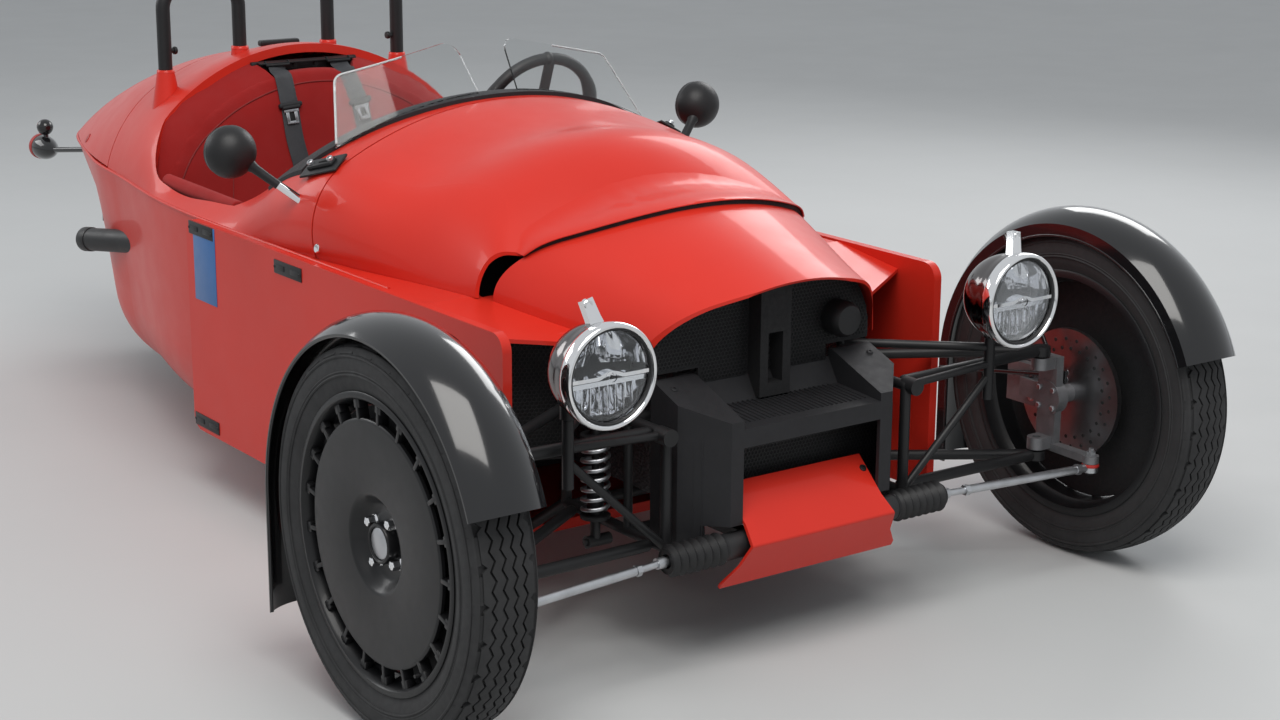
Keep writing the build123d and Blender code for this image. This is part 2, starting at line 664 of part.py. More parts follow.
# Inboard spring and damper units, each on its pull rod
DAMPER_X = 352.0
DAMPER_Y = 125.0
SPRING_RADIUS = 30.0
SPRING_Z = (262.0, 430.0)
DAMPER_ROD_RADIUS = 11.0
DAMPER_ROD_Z = (215.0, 455.0)
DAMPER_EYE_END = 370.0
DAMPER_EYE_RADIUS = 12.0
with BuildPart() as dampers:
    for side in (-1, 1):
        x = side * DAMPER_X
        for (low, high), radius in ((SPRING_Z, SPRING_RADIUS), (DAMPER_ROD_Z, DAMPER_ROD_RADIUS)):
            add_bar((x, aft(DAMPER_Y), low), (x, aft(DAMPER_Y), high), radius)
        for z in DAMPER_ROD_Z:
            eye_start = (side * (FRAME_X + RAIL_RADIUS + SEAT_GAP), aft(DAMPER_Y), z)
            add_bar(eye_start, (side * DAMPER_EYE_END, aft(DAMPER_Y), z), DAMPER_EYE_RADIUS)
save("dampers", dampers.part)

# Headlamps: deep bowls on short stems, each with a ring, a lens and a top bracket
LAMP_X = 505.0
LAMP_Z = 625.0
LAMP_FRONT = -150.0
LAMP_RADIUS = 98.0
LAMP_RING = 26.0
BOWL_RADIUS = 90.0
BOWL_CENTRE = 50.0
LAMP_STEM_RADIUS = 15.0
with BuildPart() as headlamps:
    bowl_y = aft(LAMP_FRONT + BOWL_CENTRE)
    with Locations((LAMP_X, bowl_y, LAMP_Z)):
        Sphere(BOWL_RADIUS, rotation=(90, 0, 0))
    ring_middle = aft(LAMP_FRONT + LAMP_RING / 2)
    add_block((LAMP_X - 200, LAMP_X + 200), (bowl_y - 200, ring_middle), (0, 900), Mode.SUBTRACT)
    add_bar((LAMP_X, aft(LAMP_FRONT), LAMP_Z), (LAMP_X, aft(LAMP_FRONT) + LAMP_RING, LAMP_Z), LAMP_RADIUS)
    post = (LAMP_POST_X, aft(LAMP_POST_Y), LAMP_POST_TOP + SEAT_GAP)
    add_bar(post, (post[0], post[1], LAMP_Z), LAMP_STEM_RADIUS)
    foot = (LAMP_X + 6, aft(-105), LAMP_Z + BOWL_RADIUS - 12)
    add_bar(foot, (LAMP_X + 36, aft(-76), LAMP_Z + BOWL_RADIUS + 36), 9)
    mirror(about=Plane.YZ)
save("headlamps", headlamps.part)

# Windscreen strip: a raised band over the scuttle that carries two clear flyscreens
STRIP_HEIGHT = 6.0
SCREEN_THICKNESS = 5.0
SCREEN_LEAN = 38.0
SCREEN_INNER = 22.0
SCREEN_OUTER = 432.0
SCREEN_TOP = 1060.0
with BuildPart() as raised_hull:
    loft_sections(UPPER_SECTIONS[2:8], upper_outline, inset=-STRIP_HEIGHT)
with BuildPart() as windscreen_strip:
    with BuildSketch(Plane.XY.offset(BELT_Z + 60)):
        with BuildLine():
            strip_front = plan_arc(982, (468, 1065))
            strip_rear = plan_arc(1032, (468, 1225))
            Line(strip_front @ 1, strip_rear @ 1)
            Line(strip_front @ 0, strip_rear @ 0)
        make_face()
    extrude(amount=HIGH)
    add(raised_hull.part, mode=Mode.INTERSECT)
    add(upper_hull.part, mode=Mode.SUBTRACT)
save("windscreen_strip", windscreen_strip.part)
with BuildPart() as windscreens:
    rise = 420
    lean = tan(radians(SCREEN_LEAN))
    back = Vector(0, sin(radians(SCREEN_LEAN)), cos(radians(SCREEN_LEAN)))
    low_z = 740
    shift = -(945 - low_z) * lean
    with BuildSketch(Plane.XY.offset(low_z)) as screen_wall:
        with BuildLine():
            outer_face = plan_arc(1003, (470, 1118), shift)
            inner_face = plan_arc(1003, (470, 1118), shift + SCREEN_THICKNESS / cos(radians(SCREEN_LEAN)))
            Line(outer_face @ 1, inner_face @ 1)
            Line(outer_face @ 0, inner_face @ 0)
        make_face()
    extrude(screen_wall.sketch, amount=rise, dir=back)
    with BuildSketch(cross_plane(500)) as screen_front:
        for side in (-1, 1):
            with BuildLine():
                Polyline(
                    (side * SCREEN_INNER, 700),
                    (side * (SCREEN_INNER + 42), SCREEN_TOP),
                    (side * (SCREEN_OUTER - 75), 1000),
                    (side * SCREEN_OUTER, 780),
                    close=True,
                )
            make_face()
        corners = screen_front.vertices().group_by(Axis.Y)[-2:]
        fillet([v for group in corners for v in group], 30)
    extrude(screen_front.sketch, amount=1400, both=True, mode=Mode.INTERSECT)
    add(raised_hull.part, mode=Mode.SUBTRACT)
save("windscreens", windscreens.part)

# Roll hoops behind the seats, standing on painted bases
HOOP_RADIUS = 17.5
HOOP_OUTER_X = 334.0
HOOP_INNER_X = 127.0
HOOP_Y = 2038.0
HOOP_BEND = 55.0
HOOP_BASE_TOP = (905.0, 952.0)
with BuildPart() as roll_hoops:
    top = HEIGHT - HOOP_RADIUS
    for side in (-1, 1):
        with BuildLine() as hoop_path:
            FilletPolyline(
                (side * HOOP_OUTER_X, aft(HOOP_Y), HOOP_BASE_TOP[0]),
                (side * HOOP_OUTER_X, aft(HOOP_Y), top),
                (side * HOOP_INNER_X, aft(HOOP_Y), top),
                (side * HOOP_INNER_X, aft(HOOP_Y), HOOP_BASE_TOP[1]),
                radius=HOOP_BEND,
            )
        with BuildSketch(Plane(origin=hoop_path.line @ 0, z_dir=(0, 0, 1))) as hoop_section:
            Circle(HOOP_RADIUS)
        sweep(hoop_section.sketch, path=hoop_path.line)
save("roll_hoops", roll_hoops.part)
with BuildPart() as hoop_bases:
    for side in (-1, 1):
        for x, top_z, wide in ((HOOP_OUTER_X, HOOP_BASE_TOP[0], 42), (HOOP_INNER_X, HOOP_BASE_TOP[1], 34)):
            with Locations((side * x, aft(HOOP_Y), top_z)):
                Cone(wide, HOOP_RADIUS + 4, 120, align=(Align.CENTER, Align.CENTER, Align.MAX))
    add(upper_hull.part, mode=Mode.SUBTRACT)
save("hoop_bases", hoop_bases.part)

# Door mirrors: round heads on slim stalks
MIRROR_HEAD = (622.0, 1082.0, 860.0)
MIRROR_FOOT = (470.0, 1005.0, 735.0)
MIRROR_RADIUS = 57.0
with BuildPart() as mirrors:
    for side in (-1, 1):
        head = Vector(side * MIRROR_HEAD[0], aft(MIRROR_HEAD[1]), MIRROR_HEAD[2])
        foot = Vector(side * MIRROR_FOOT[0], aft(MIRROR_FOOT[1]), MIRROR_FOOT[2])
        add_bar(foot, head, 7)
        with BuildSketch(Plane(origin=head, x_dir=(0, 1, 0), z_dir=(1, 0, 0))) as bowl:
            with BuildLine():
                glass = Line((22, 0), (22, MIRROR_RADIUS - 3))
                rim = Line(glass @ 1, (8, MIRROR_RADIUS))
                shell = ThreePointArc(rim @ 1, (-28, MIRROR_RADIUS * 0.72), (-44, 0))
                Line(shell @ 1, glass @ 0)
            make_face()
        revolve(bowl.sketch, axis=Axis(head, (0, 1, 0)))
    add(upper_hull.part, mode=Mode.SUBTRACT)
save("mirrors", mirrors.part)

# Tail lamps on stalks, each with a round indicator above
TAIL_LAMP_X = 224.0
TAIL_LAMP_Z = 545.0
with BuildPart() as tail_lamps:
    for side in (-1, 1):
        centre = (side * TAIL_LAMP_X, LENGTH / 2, TAIL_LAMP_Z)
        with BuildSketch(Plane(origin=centre, x_dir=(0, 1, 0), z_dir=(1, 0, 0))) as bullet:
            with BuildLine():
                lens = ThreePointArc((0, 0), (-3, 20), (-12, 34))
                rim = Line(lens @ 1, (-30, 36))
                shell = ThreePointArc(rim @ 1, (-90, 24), (-125, 0))
                Line(shell @ 1, lens @ 0)
            make_face()
        revolve(bullet.sketch, axis=Axis(centre, (0, 1, 0)))
        ball = (centre[0], centre[1] - 55, TAIL_LAMP_Z + 62)
        with Locations(ball):
            Sphere(24)
        add_bar((centre[0], centre[1] - 60, TAIL_LAMP_Z + 20), ball, 7)
        add_bar((side * 150, aft(2790), 585), (centre[0], centre[1] - 100, TAIL_LAMP_Z), 8)
    add(lower_hull.part, mode=Mode.SUBTRACT)
save("tail_lamps", tail_lamps.part)

# Exhaust: silencer under the floor edge and a tail pipe that leaves the right flank
with BuildPart() as exhaust:
    add_bar((-400, aft(1990), 480), (-455, aft(2320), 440), 30)
    add_bar((-400, aft(1990) - 2, 480), (-455.3, aft(2320) + 2, 439.7), 25, Mode.SUBTRACT)
    add(lower_hull.part, mode=Mode.SUBTRACT)
save("exhaust", exhaust.part)

# Rear wheel well, open below, above the rear wheel
WELL_WALL = 5.0
WELL_TOP = 2 * REAR_TYRE_RADIUS + 30.0
with BuildPart() as well_room:
    with BuildSketch(Plane.XY):
        with BuildLine():
            add_well_plan(SEAT_GAP + WELL_WALL)
        make_face()
    extrude(amount=WELL_TOP - WELL_WALL)
    with BuildSketch(side_plane(0)):
        with Locations((aft(WHEELBASE), REAR_TYRE_RADIUS)):
            Circle(WELL_RADIUS - SEAT_GAP - WELL_WALL)
            Rectangle(2 * WELL_RADIUS, WELL_RADIUS, align=(Align.CENTER, Align.MAX))
    extrude(amount=WELL_HALF, both=True, mode=Mode.INTERSECT)
with BuildPart() as well_envelope:
    add(lower_hull.part)
    well_y = (aft(WELL_FRONT), aft(WHEELBASE + WELL_RADIUS))
    add_block((-WELL_HALF, WELL_HALF), well_y, (BELT_Z - 1, WELL_TOP))
with BuildPart() as wheel_tub:
    with BuildSketch(Plane.XY.offset(PIVOT_Z + 22)):
        with BuildLine():
            add_well_plan(SEAT_GAP)
        make_face()
    extrude(amount=WELL_TOP - PIVOT_Z - 22)
    with BuildSketch(side_plane(0)):
        with Locations((aft(WHEELBASE), REAR_TYRE_RADIUS)):
            Circle(WELL_RADIUS - SEAT_GAP)
    extrude(amount=WELL_HALF, both=True, mode=Mode.INTERSECT)
    add(well_room.part, mode=Mode.SUBTRACT)
    add(well_envelope.part, mode=Mode.INTERSECT)
save("wheel_tub", wheel_tub.part)

# Swing arm: two arms from the pivot in the tub to the rear axle
ARM_INNER = REAR_TYRE_WIDTH / 2 + 12
ARM_RADIUS = 15.0
AXLE_RADIUS = 12.0
with BuildPart() as swing_arm:
    for side in (-1, 1):
        arm_x = side * (ARM_INNER + ARM_RADIUS)
        axle = (arm_x, aft(WHEELBASE), REAR_TYRE_RADIUS)
        add_bar((arm_x, aft(PIVOT_Y), PIVOT_Z), axle, ARM_RADIUS)
        add_bar((side * ARM_INNER, *axle[1:]), (side * (ARM_INNER + 2 * ARM_RADIUS), *axle[1:]), 26)
    pivot_half = EAR_X[0] - SEAT_GAP
    add_bar((-pivot_half, aft(PIVOT_Y), PIVOT_Z), (pivot_half, aft(PIVOT_Y), PIVOT_Z), PIVOT_RADIUS)
    add_bar((-ARM_INNER - 5, *axle[1:]), (ARM_INNER + 5, *axle[1:]), AXLE_RADIUS)
save("swing_arm", swing_arm.part)

# Blank plate holder on its bracket under the tail
PLATE_HALF = 105.0
with BuildPart() as plate_bracket:
    add_block((-PLATE_HALF, PLATE_HALF), (aft(3040), aft(3046)), (330, 441))
    for x in (-60, 60):
        add_bar((x, aft(2930), 480), (x, aft(3041), 400), 7)
    add(lower_hull.part, mode=Mode.SUBTRACT)
save("plate_bracket", plate_bracket.part)

# Firewall between the engine bay and the footwell
FIREWALL_Y = 780.0
FIREWALL_SECTION = (FIREWALL_Y, 486, BELT_Z, 922, 880, 398)
with BuildPart() as cabin_room:
    loft_sections(LOWER_SECTIONS[:-1], lower_outline, inset=WALL + 1, top_z=BELT_Z - LEDGE - 1)
with BuildPart() as lower_wall:
    add(cabin_room.part)
    add_block((-600, 600), (aft(FIREWALL_Y), aft(FIREWALL_Y + 20)), (0, BELT_Z), Mode.INTERSECT)
with BuildPart() as firewall:
    with BuildSketch(cross_plane(FIREWALL_Y + 20)) as upper_wall:
        with BuildLine():
            upper_outline(FIREWALL_SECTION, inset=WALL + 14)
        make_face()
    extrude(upper_wall.sketch, amount=20)
    add(lower_wall.part)
save("firewall", firewall.part)

# Seats: one cushion for two and one back that closes the rear of the cockpit
CUSHION_TOP = 330.0
with BuildPart() as seat_cushion:
    for x_pair in ((-470, -35), (35, 470)):
        add_block(x_pair, (aft(1400), aft(1760)), (FLOOR_Z, CUSHION_TOP))
    fillet(seat_cushion.edges().group_by(Axis.Z)[-1], 25)
    add(cabin_room.part, mode=Mode.INTERSECT)
save("seat_cushion", seat_cushion.part)
BACK_SECTION = (1900, 483, BELT_Z, 952, 600, 360)
with BuildPart() as seat_back:
    with BuildSketch(cross_plane(0)):
        with BuildLine():
            upper_outline(BACK_SECTION, inset=WALL + 14)
        make_face()
    extrude(amount=-2500)
    with BuildSketch(cross_plane(0)):
        with Locations((0, BELT_Z)):
            Rectangle(2 * 440, 60)
    extrude(amount=-2500)
    add(cabin_room.part)
    with BuildSketch(side_plane(0)):
        with BuildLine():
            Polyline(
                (aft(1765), CUSHION_TOP - 100),
                (aft(1890), 940),
                (aft(1935), 940),
                (aft(1880), 600),
                (aft(1840), CUSHION_TOP - 100),
                close=True,
            )
        make_face()
    extrude(amount=500, both=True, mode=Mode.INTERSECT)
save("seat_back", seat_back.part)
with BuildPart() as elbow_pads:
    for side in (-1, 1):
        add_bar((side * 455, aft(1400), 668), (side * 455, aft(1790), 676), 22)
    add(body_upper.part, mode=Mode.SUBTRACT)
    add(body_lower.part, mode=Mode.SUBTRACT)
save("elbow_pads", elbow_pads.part)

# Dash panel with two round dials in the middle
DASH_Y = 1128.0
DASH_THICKNESS = 18.0
with BuildPart() as dash:
    loft_sections(UPPER_SECTIONS, upper_outline, inset=WALL + SEAT_GAP)
    add_block((-600, 600), (aft(DASH_Y), aft(DASH_Y + DASH_THICKNESS)), (BELT_Z + 2, HIGH), Mode.INTERSECT)
    for side in (-1, 1):
        add_bar((side * 66, aft(DASH_Y + 10), 800), (side * 66, aft(DASH_Y + 45), 800), 56)
save("dash", dash.part)

# Steering column and wheel
WHEEL_CENTRE = Vector(290, aft(1300), 830)
COLUMN_RAKE = 20.0
COLUMN_RADIUS = 10.0
TOWARD_DRIVER = Vector(0, cos(radians(COLUMN_RAKE)), sin(radians(COLUMN_RAKE)))
GRIP_RADIUS = 14.0
STEERING_WHEEL_RADIUS = 170.0
wheel_plane = Plane(origin=WHEEL_CENTRE, x_dir=(1, 0, 0), z_dir=TOWARD_DRIVER)
with BuildPart() as steering_column:
    column_foot = WHEEL_CENTRE - TOWARD_DRIVER * 165
    add_bar(column_foot, WHEEL_CENTRE - TOWARD_DRIVER * 42, 24)
    add_bar(column_foot, WHEEL_CENTRE - TOWARD_DRIVER * 12, COLUMN_RADIUS)
    add(dash.part, mode=Mode.SUBTRACT)
save("steering_column", steering_column.part)
with BuildPart(wheel_plane) as steering_wheel:
    Torus(STEERING_WHEEL_RADIUS - GRIP_RADIUS, GRIP_RADIUS)
    with Locations((0, 0, -20)):
        Cylinder(30, 34)
    for angle in (0, 180, 270):
        with BuildSketch(wheel_plane.offset(-14)) as spoke:
            with PolarLocations(0, 1, angle):
                with Locations((STEERING_WHEEL_RADIUS / 2, 0)):
                    Rectangle(STEERING_WHEEL_RADIUS - 20, 26)
        extrude(spoke.sketch, amount=6)
    with Locations((0, 0, -24.5)):
        Cylinder(COLUMN_RADIUS + RUNNING_CLEARANCE, 25, mode=Mode.SUBTRACT)
save("steering_wheel", steering_wheel.part)


# Wheels. Each profile is drawn along the axle (local x, outboard positive) and out from it (local y).
def wheel_plane_at(x, y, z, outboard):
    """Plane through a wheel's centre with local x outboard and local y upward."""
    return Plane(origin=(x, y, z), x_dir=(outboard, 0, 0), z_dir=(0, -outboard, 0))


def revolve_profile(plane, points):
    """Revolves a closed profile about the plane's local x in the open part."""
    with BuildSketch(plane) as profile:
        with BuildLine():
            Polyline(*points, close=True)
        make_face()
    revolve(profile.sketch, axis=Axis(plane.origin, plane.x_dir))


def tyre_profile(radius, width, bead):
    """Closed tyre profile with rounded shoulders, as points."""
    half = width / 2
    wall = radius - bead
    right = [
        (half * 0.80, bead),
        (half * 0.82, bead + 10),
        (half * 0.96, bead + wall * 0.36),
        (half, bead + wall * 0.55),
        (half * 0.95, radius - wall * 0.18),
        (half * 0.78, radius - wall * 0.03),
        (half * 0.4, radius),
    ]
    return right + [(-x, y) for x, y in reversed(right)]


RIM_WALL = 8.0
SPINDLE_RADIUS = 20.0
SPINDLE_END = 18.0
HUB_RADIUS = 62.0
FACE_RADIUS = 221.0
FIN_COUNT = 21
DISC_RADIUS = 140.0
DISC_X = -40.0
for side, name in ((-1, "r"), (1, "l")):
    plane = wheel_plane_at(side * FRONT_WHEEL_X, aft(0), FRONT_TYRE_RADIUS, side)
    with BuildPart() as front_tyre:
        revolve_profile(plane, tyre_profile(FRONT_TYRE_RADIUS, FRONT_TYRE_WIDTH, FRONT_RIM_RADIUS - 8))
    save(f"tyre_{name}", front_tyre.part)
    with BuildPart() as front_wheel:
        bead = FRONT_RIM_RADIUS - 8 - SEAT_GAP
        revolve_profile(
            plane,
            [(-54, bead), (-54, bead - RIM_WALL), (54, bead - RIM_WALL), (54, bead)],
        )
        for end in (-1, 1):
            inner, outer, low, high = end * 54, end * 58, bead - RIM_WALL, FRONT_RIM_RADIUS + 1
            revolve_profile(plane, [(inner, low), (inner, high), (outer, high), (outer, low)])
        revolve_profile(plane, [(40, 0), (40, FACE_RADIUS), (52, FACE_RADIUS), (52, 0)])
        revolve_profile(plane, [(40, 0), (40, 38), (55, 38), (55, 0)])
        with BuildSketch(Plane(origin=plane.origin, x_dir=(0, 1, 0), z_dir=(side, 0, 0)).offset(40)) as fins:
            with PolarLocations((FACE_RADIUS + bead) / 2 - 4, FIN_COUNT):
                Rectangle(bead - FACE_RADIUS, 12)
        extrude(fins.sketch, amount=12)
        hub_start = SPINDLE_END + 3
        revolve_profile(plane, [(hub_start, 0), (hub_start, HUB_RADIUS), (41, HUB_RADIUS), (41, 0)])
    save(f"wheel_{name}", front_wheel.part)
    with BuildPart() as brake_disc:
        bore = SPINDLE_RADIUS + RUNNING_CLEARANCE
        revolve_profile(
            plane,
            [
                (DISC_X - 6, bore),
                (DISC_X - 6, DISC_RADIUS),
                (DISC_X + 6, DISC_RADIUS),
                (DISC_X + 6, HUB_RADIUS),
                (SPINDLE_END + 3, HUB_RADIUS),
                (SPINDLE_END + 3, bore),
            ],
        )
    save(f"brake_disc_{name}", brake_disc.part)

    # Upright with its spindle, steering arm and the two kingpin bores
    plate_x = side * (KINGPIN_X + 35)
    hub = (plate_x, aft(0), FRONT_TYRE_RADIUS)
    with BuildPart() as upright:
        add_bar((side * (KINGPIN_X + 22), *hub[1:]), (side * (KINGPIN_X + 50), *hub[1:]), 38)
        spindle_end = side * (FRONT_WHEEL_X + SPINDLE_END)
        add_bar(hub, (spindle_end, *hub[1:]), SPINDLE_RADIUS)
        x_pair = sorted((side * (KINGPIN_X + 24), side * (KINGPIN_X + 44)))
        add_block(x_pair, (aft(-26), aft(26)), (UPRIGHT_BOTTOM, UPRIGHT_TOP))
        for low, high in ((UPRIGHT_BOTTOM, UPRIGHT_BOTTOM + 26), (UPRIGHT_TOP - 26, UPRIGHT_TOP)):
            x_pair = sorted((side * KINGPIN_X, side * (KINGPIN_X + 30)))
            add_block(x_pair, (aft(-20), aft(20)), (low, high))
            start, end = ((side * KINGPIN_X, aft(0), z) for z in (low, high))
            add_bar(start, end, 20)
            add_bar(start, end, PIN_RADIUS + RUNNING_CLEARANCE, Mode.SUBTRACT)
        arm_z = EYE_Z + EYE_HALF_HEIGHT + 1
        with BuildSketch(Plane.XY.offset(arm_z)) as arm:
            with BuildLine():
                Polyline(
                    (side * (KINGPIN_X + 24), aft(20)),
                    (side * (KINGPIN_X + 44), aft(20)),
                    (side * (ARM_X + 14), aft(-ARM_REACH)),
                    (side * (ARM_X - 14), aft(-ARM_REACH)),
                    close=True,
                )
            make_face()
            with Locations((side * ARM_X, aft(-ARM_REACH))):
                Circle(17)
        extrude(arm.sketch, amount=16)
    save(f"upright_{name}", upright.part)

    # Cycle wing with its two stays
    with BuildPart() as wing:
        lip_x = (WIDTH - WING_WIDTH) / 2
        with BuildSketch(Plane.XY.offset(FRONT_TYRE_RADIUS)) as crown:
            with BuildLine():
                for inset in (0, WING_THICKNESS):
                    ThreePointArc(
                        (side * (lip_x - WING_WIDTH / 2), aft(WING_RADIUS - WING_LIP_DROP - inset)),
                        (side * lip_x, aft(WING_RADIUS - inset)),
                        (side * (lip_x + WING_WIDTH / 2), aft(WING_RADIUS - WING_LIP_DROP - inset)),
                    )
                for edge in (-1, 1):
                    x = side * (lip_x + edge * WING_WIDTH / 2)
                    outer_y = aft(WING_RADIUS - WING_LIP_DROP)
                    Line((x, outer_y), (x, outer_y - WING_THICKNESS))
            make_face()
            inner_x = side * (lip_x - WING_WIDTH / 2 + WING_THICKNESS / 2)
            with Locations((inner_x, aft(WING_RADIUS - WING_LIP_DROP))):
                Rectangle(WING_THICKNESS, WING_SKIRT, align=(Align.CENTER, Align.MAX))
        axle = Axis((0, aft(0), FRONT_TYRE_RADIUS), (1, 0, 0))
        revolve(crown.sketch, axis=axle, revolution_arc=180 - WING_FRONT_ANGLE)
        extrude(crown.sketch, amount=-WING_REAR_DROP)
        stay_x = side * (KINGPIN_X + 53)
        add_block(
            sorted((side * (KINGPIN_X + 50), side * (KINGPIN_X + 56))),
            (aft(-25), aft(25)),
            (FRONT_TYRE_RADIUS + 30, FRONT_TYRE_RADIUS + 60),
        )
        lip = WING_RADIUS - WING_LIP_DROP - 2
        root = (stay_x, aft(0), FRONT_TYRE_RADIUS + 45)
        inner_lip = side * (lip_x - WING_WIDTH / 2 + 2)
        add_bar(root, (inner_lip, aft(lip * 0.5), FRONT_TYRE_RADIUS + lip * 0.866), 5)
        add_bar(root, (inner_lip, aft(lip), FRONT_TYRE_RADIUS - 20), 5)
    save(f"wing_{name}", wing.part)

    # Brake caliper round the disc
    with BuildPart() as caliper:
        disc_plane = FRONT_WHEEL_X + DISC_X
        add_block(
            sorted((side * (disc_plane - 30), side * (disc_plane + 30))),
            (aft(62), aft(160)),
            (FRONT_TYRE_RADIUS - 45, FRONT_TYRE_RADIUS + 45),
        )
        slot_start = (side * (disc_plane - 9), aft(0), FRONT_TYRE_RADIUS)
        with BuildSketch(Plane(origin=slot_start, z_dir=(side, 0, 0))) as slot:
            Circle(DISC_RADIUS + 6)
        extrude(slot.sketch, amount=18, mode=Mode.SUBTRACT)
        slot_end = (side * (disc_plane + 9), aft(0), FRONT_TYRE_RADIUS)
        with BuildSketch(Plane(origin=slot_end, z_dir=(side, 0, 0))) as hub_room:
            Circle(HUB_RADIUS + 6)
        extrude(hub_room.sketch, amount=40, mode=Mode.SUBTRACT)
        add_block(
            sorted((side * (KINGPIN_X + 44), side * (disc_plane - 29))),
            (aft(20), aft(100)),
            (FRONT_TYRE_RADIUS - 20, FRONT_TYRE_RADIUS + 20),
        )
        add(upright.part, mode=Mode.SUBTRACT)
    save(f"caliper_{name}", caliper.part)

# Rear wheel, driven, on the swing arm's axle
REAR_RIM_WALL = 9.0
REAR_RIM_HALF = 84.0
rear_plane = wheel_plane_at(0, aft(WHEELBASE), REAR_TYRE_RADIUS, 1)
with BuildPart() as rear_tyre:
    revolve_profile(rear_plane, tyre_profile(REAR_TYRE_RADIUS, REAR_TYRE_WIDTH, REAR_RIM_RADIUS - 8))
save("tyre_rear", rear_tyre.part)
with BuildPart() as rear_wheel:
    rear_bead = REAR_RIM_RADIUS - 8 - SEAT_GAP
    rim_inner = rear_bead - REAR_RIM_WALL
    rim_end = REAR_RIM_HALF
    rim_loop = [(-rim_end, rear_bead), (-rim_end, rim_inner), (rim_end, rim_inner), (rim_end, rear_bead)]
    revolve_profile(rear_plane, rim_loop)
    for end in (-1, 1):
        inner, outer, low, high = end * (rim_end - 3.5), end * rim_end, rim_inner, REAR_RIM_RADIUS + 1
        revolve_profile(rear_plane, [(inner, low), (inner, high), (outer, high), (outer, low)])
    web_low, web_high = AXLE_RADIUS + 6, rear_bead - 5
    revolve_profile(rear_plane, [(-8, web_low), (-8, web_high), (8, web_high), (8, web_low)])
    axle_bore = AXLE_RADIUS + RUNNING_CLEARANCE
    revolve_profile(rear_plane, [(-96, axle_bore), (-96, 50), (96, 50), (96, axle_bore)])
save("wheel_rear", rear_wheel.part)
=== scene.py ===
"""Looks of the three wheeled car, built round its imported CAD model. Metres, +Z up, the car faces -Y."""
from math import cos, pi, radians, sin, sqrt

import bmesh
import bpy
import numpy as np
from mathutils import Matrix, Vector
from mathutils.bvhtree import BVHTree


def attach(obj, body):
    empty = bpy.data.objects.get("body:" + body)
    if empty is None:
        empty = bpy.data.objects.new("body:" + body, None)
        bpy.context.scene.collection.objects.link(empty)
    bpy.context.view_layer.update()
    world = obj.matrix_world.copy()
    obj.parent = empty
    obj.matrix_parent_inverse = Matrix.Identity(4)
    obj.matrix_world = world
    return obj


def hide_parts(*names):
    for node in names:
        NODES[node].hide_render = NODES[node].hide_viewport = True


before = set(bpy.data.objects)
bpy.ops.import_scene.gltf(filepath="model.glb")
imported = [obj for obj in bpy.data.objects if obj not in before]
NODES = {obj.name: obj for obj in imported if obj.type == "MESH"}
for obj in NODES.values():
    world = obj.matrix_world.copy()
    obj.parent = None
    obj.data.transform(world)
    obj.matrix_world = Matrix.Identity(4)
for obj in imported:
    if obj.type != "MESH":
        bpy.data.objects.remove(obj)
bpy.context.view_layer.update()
scene = bpy.context.scene
LENGTH = 3.581
AXLE_Y = 0.4 * cos(radians(22)) - LENGTH / 2
SIDES = ((-1, "r"), (1, "l"))


def aft(distance):
    """Y of a place given by its distance behind the front axle."""
    return AXLE_Y + distance


def mm(*pairs):
    """Pairs written in millimetres, in metres."""
    return [(round(a / 1000, 7), round(b / 1000, 7)) for a, b in pairs]


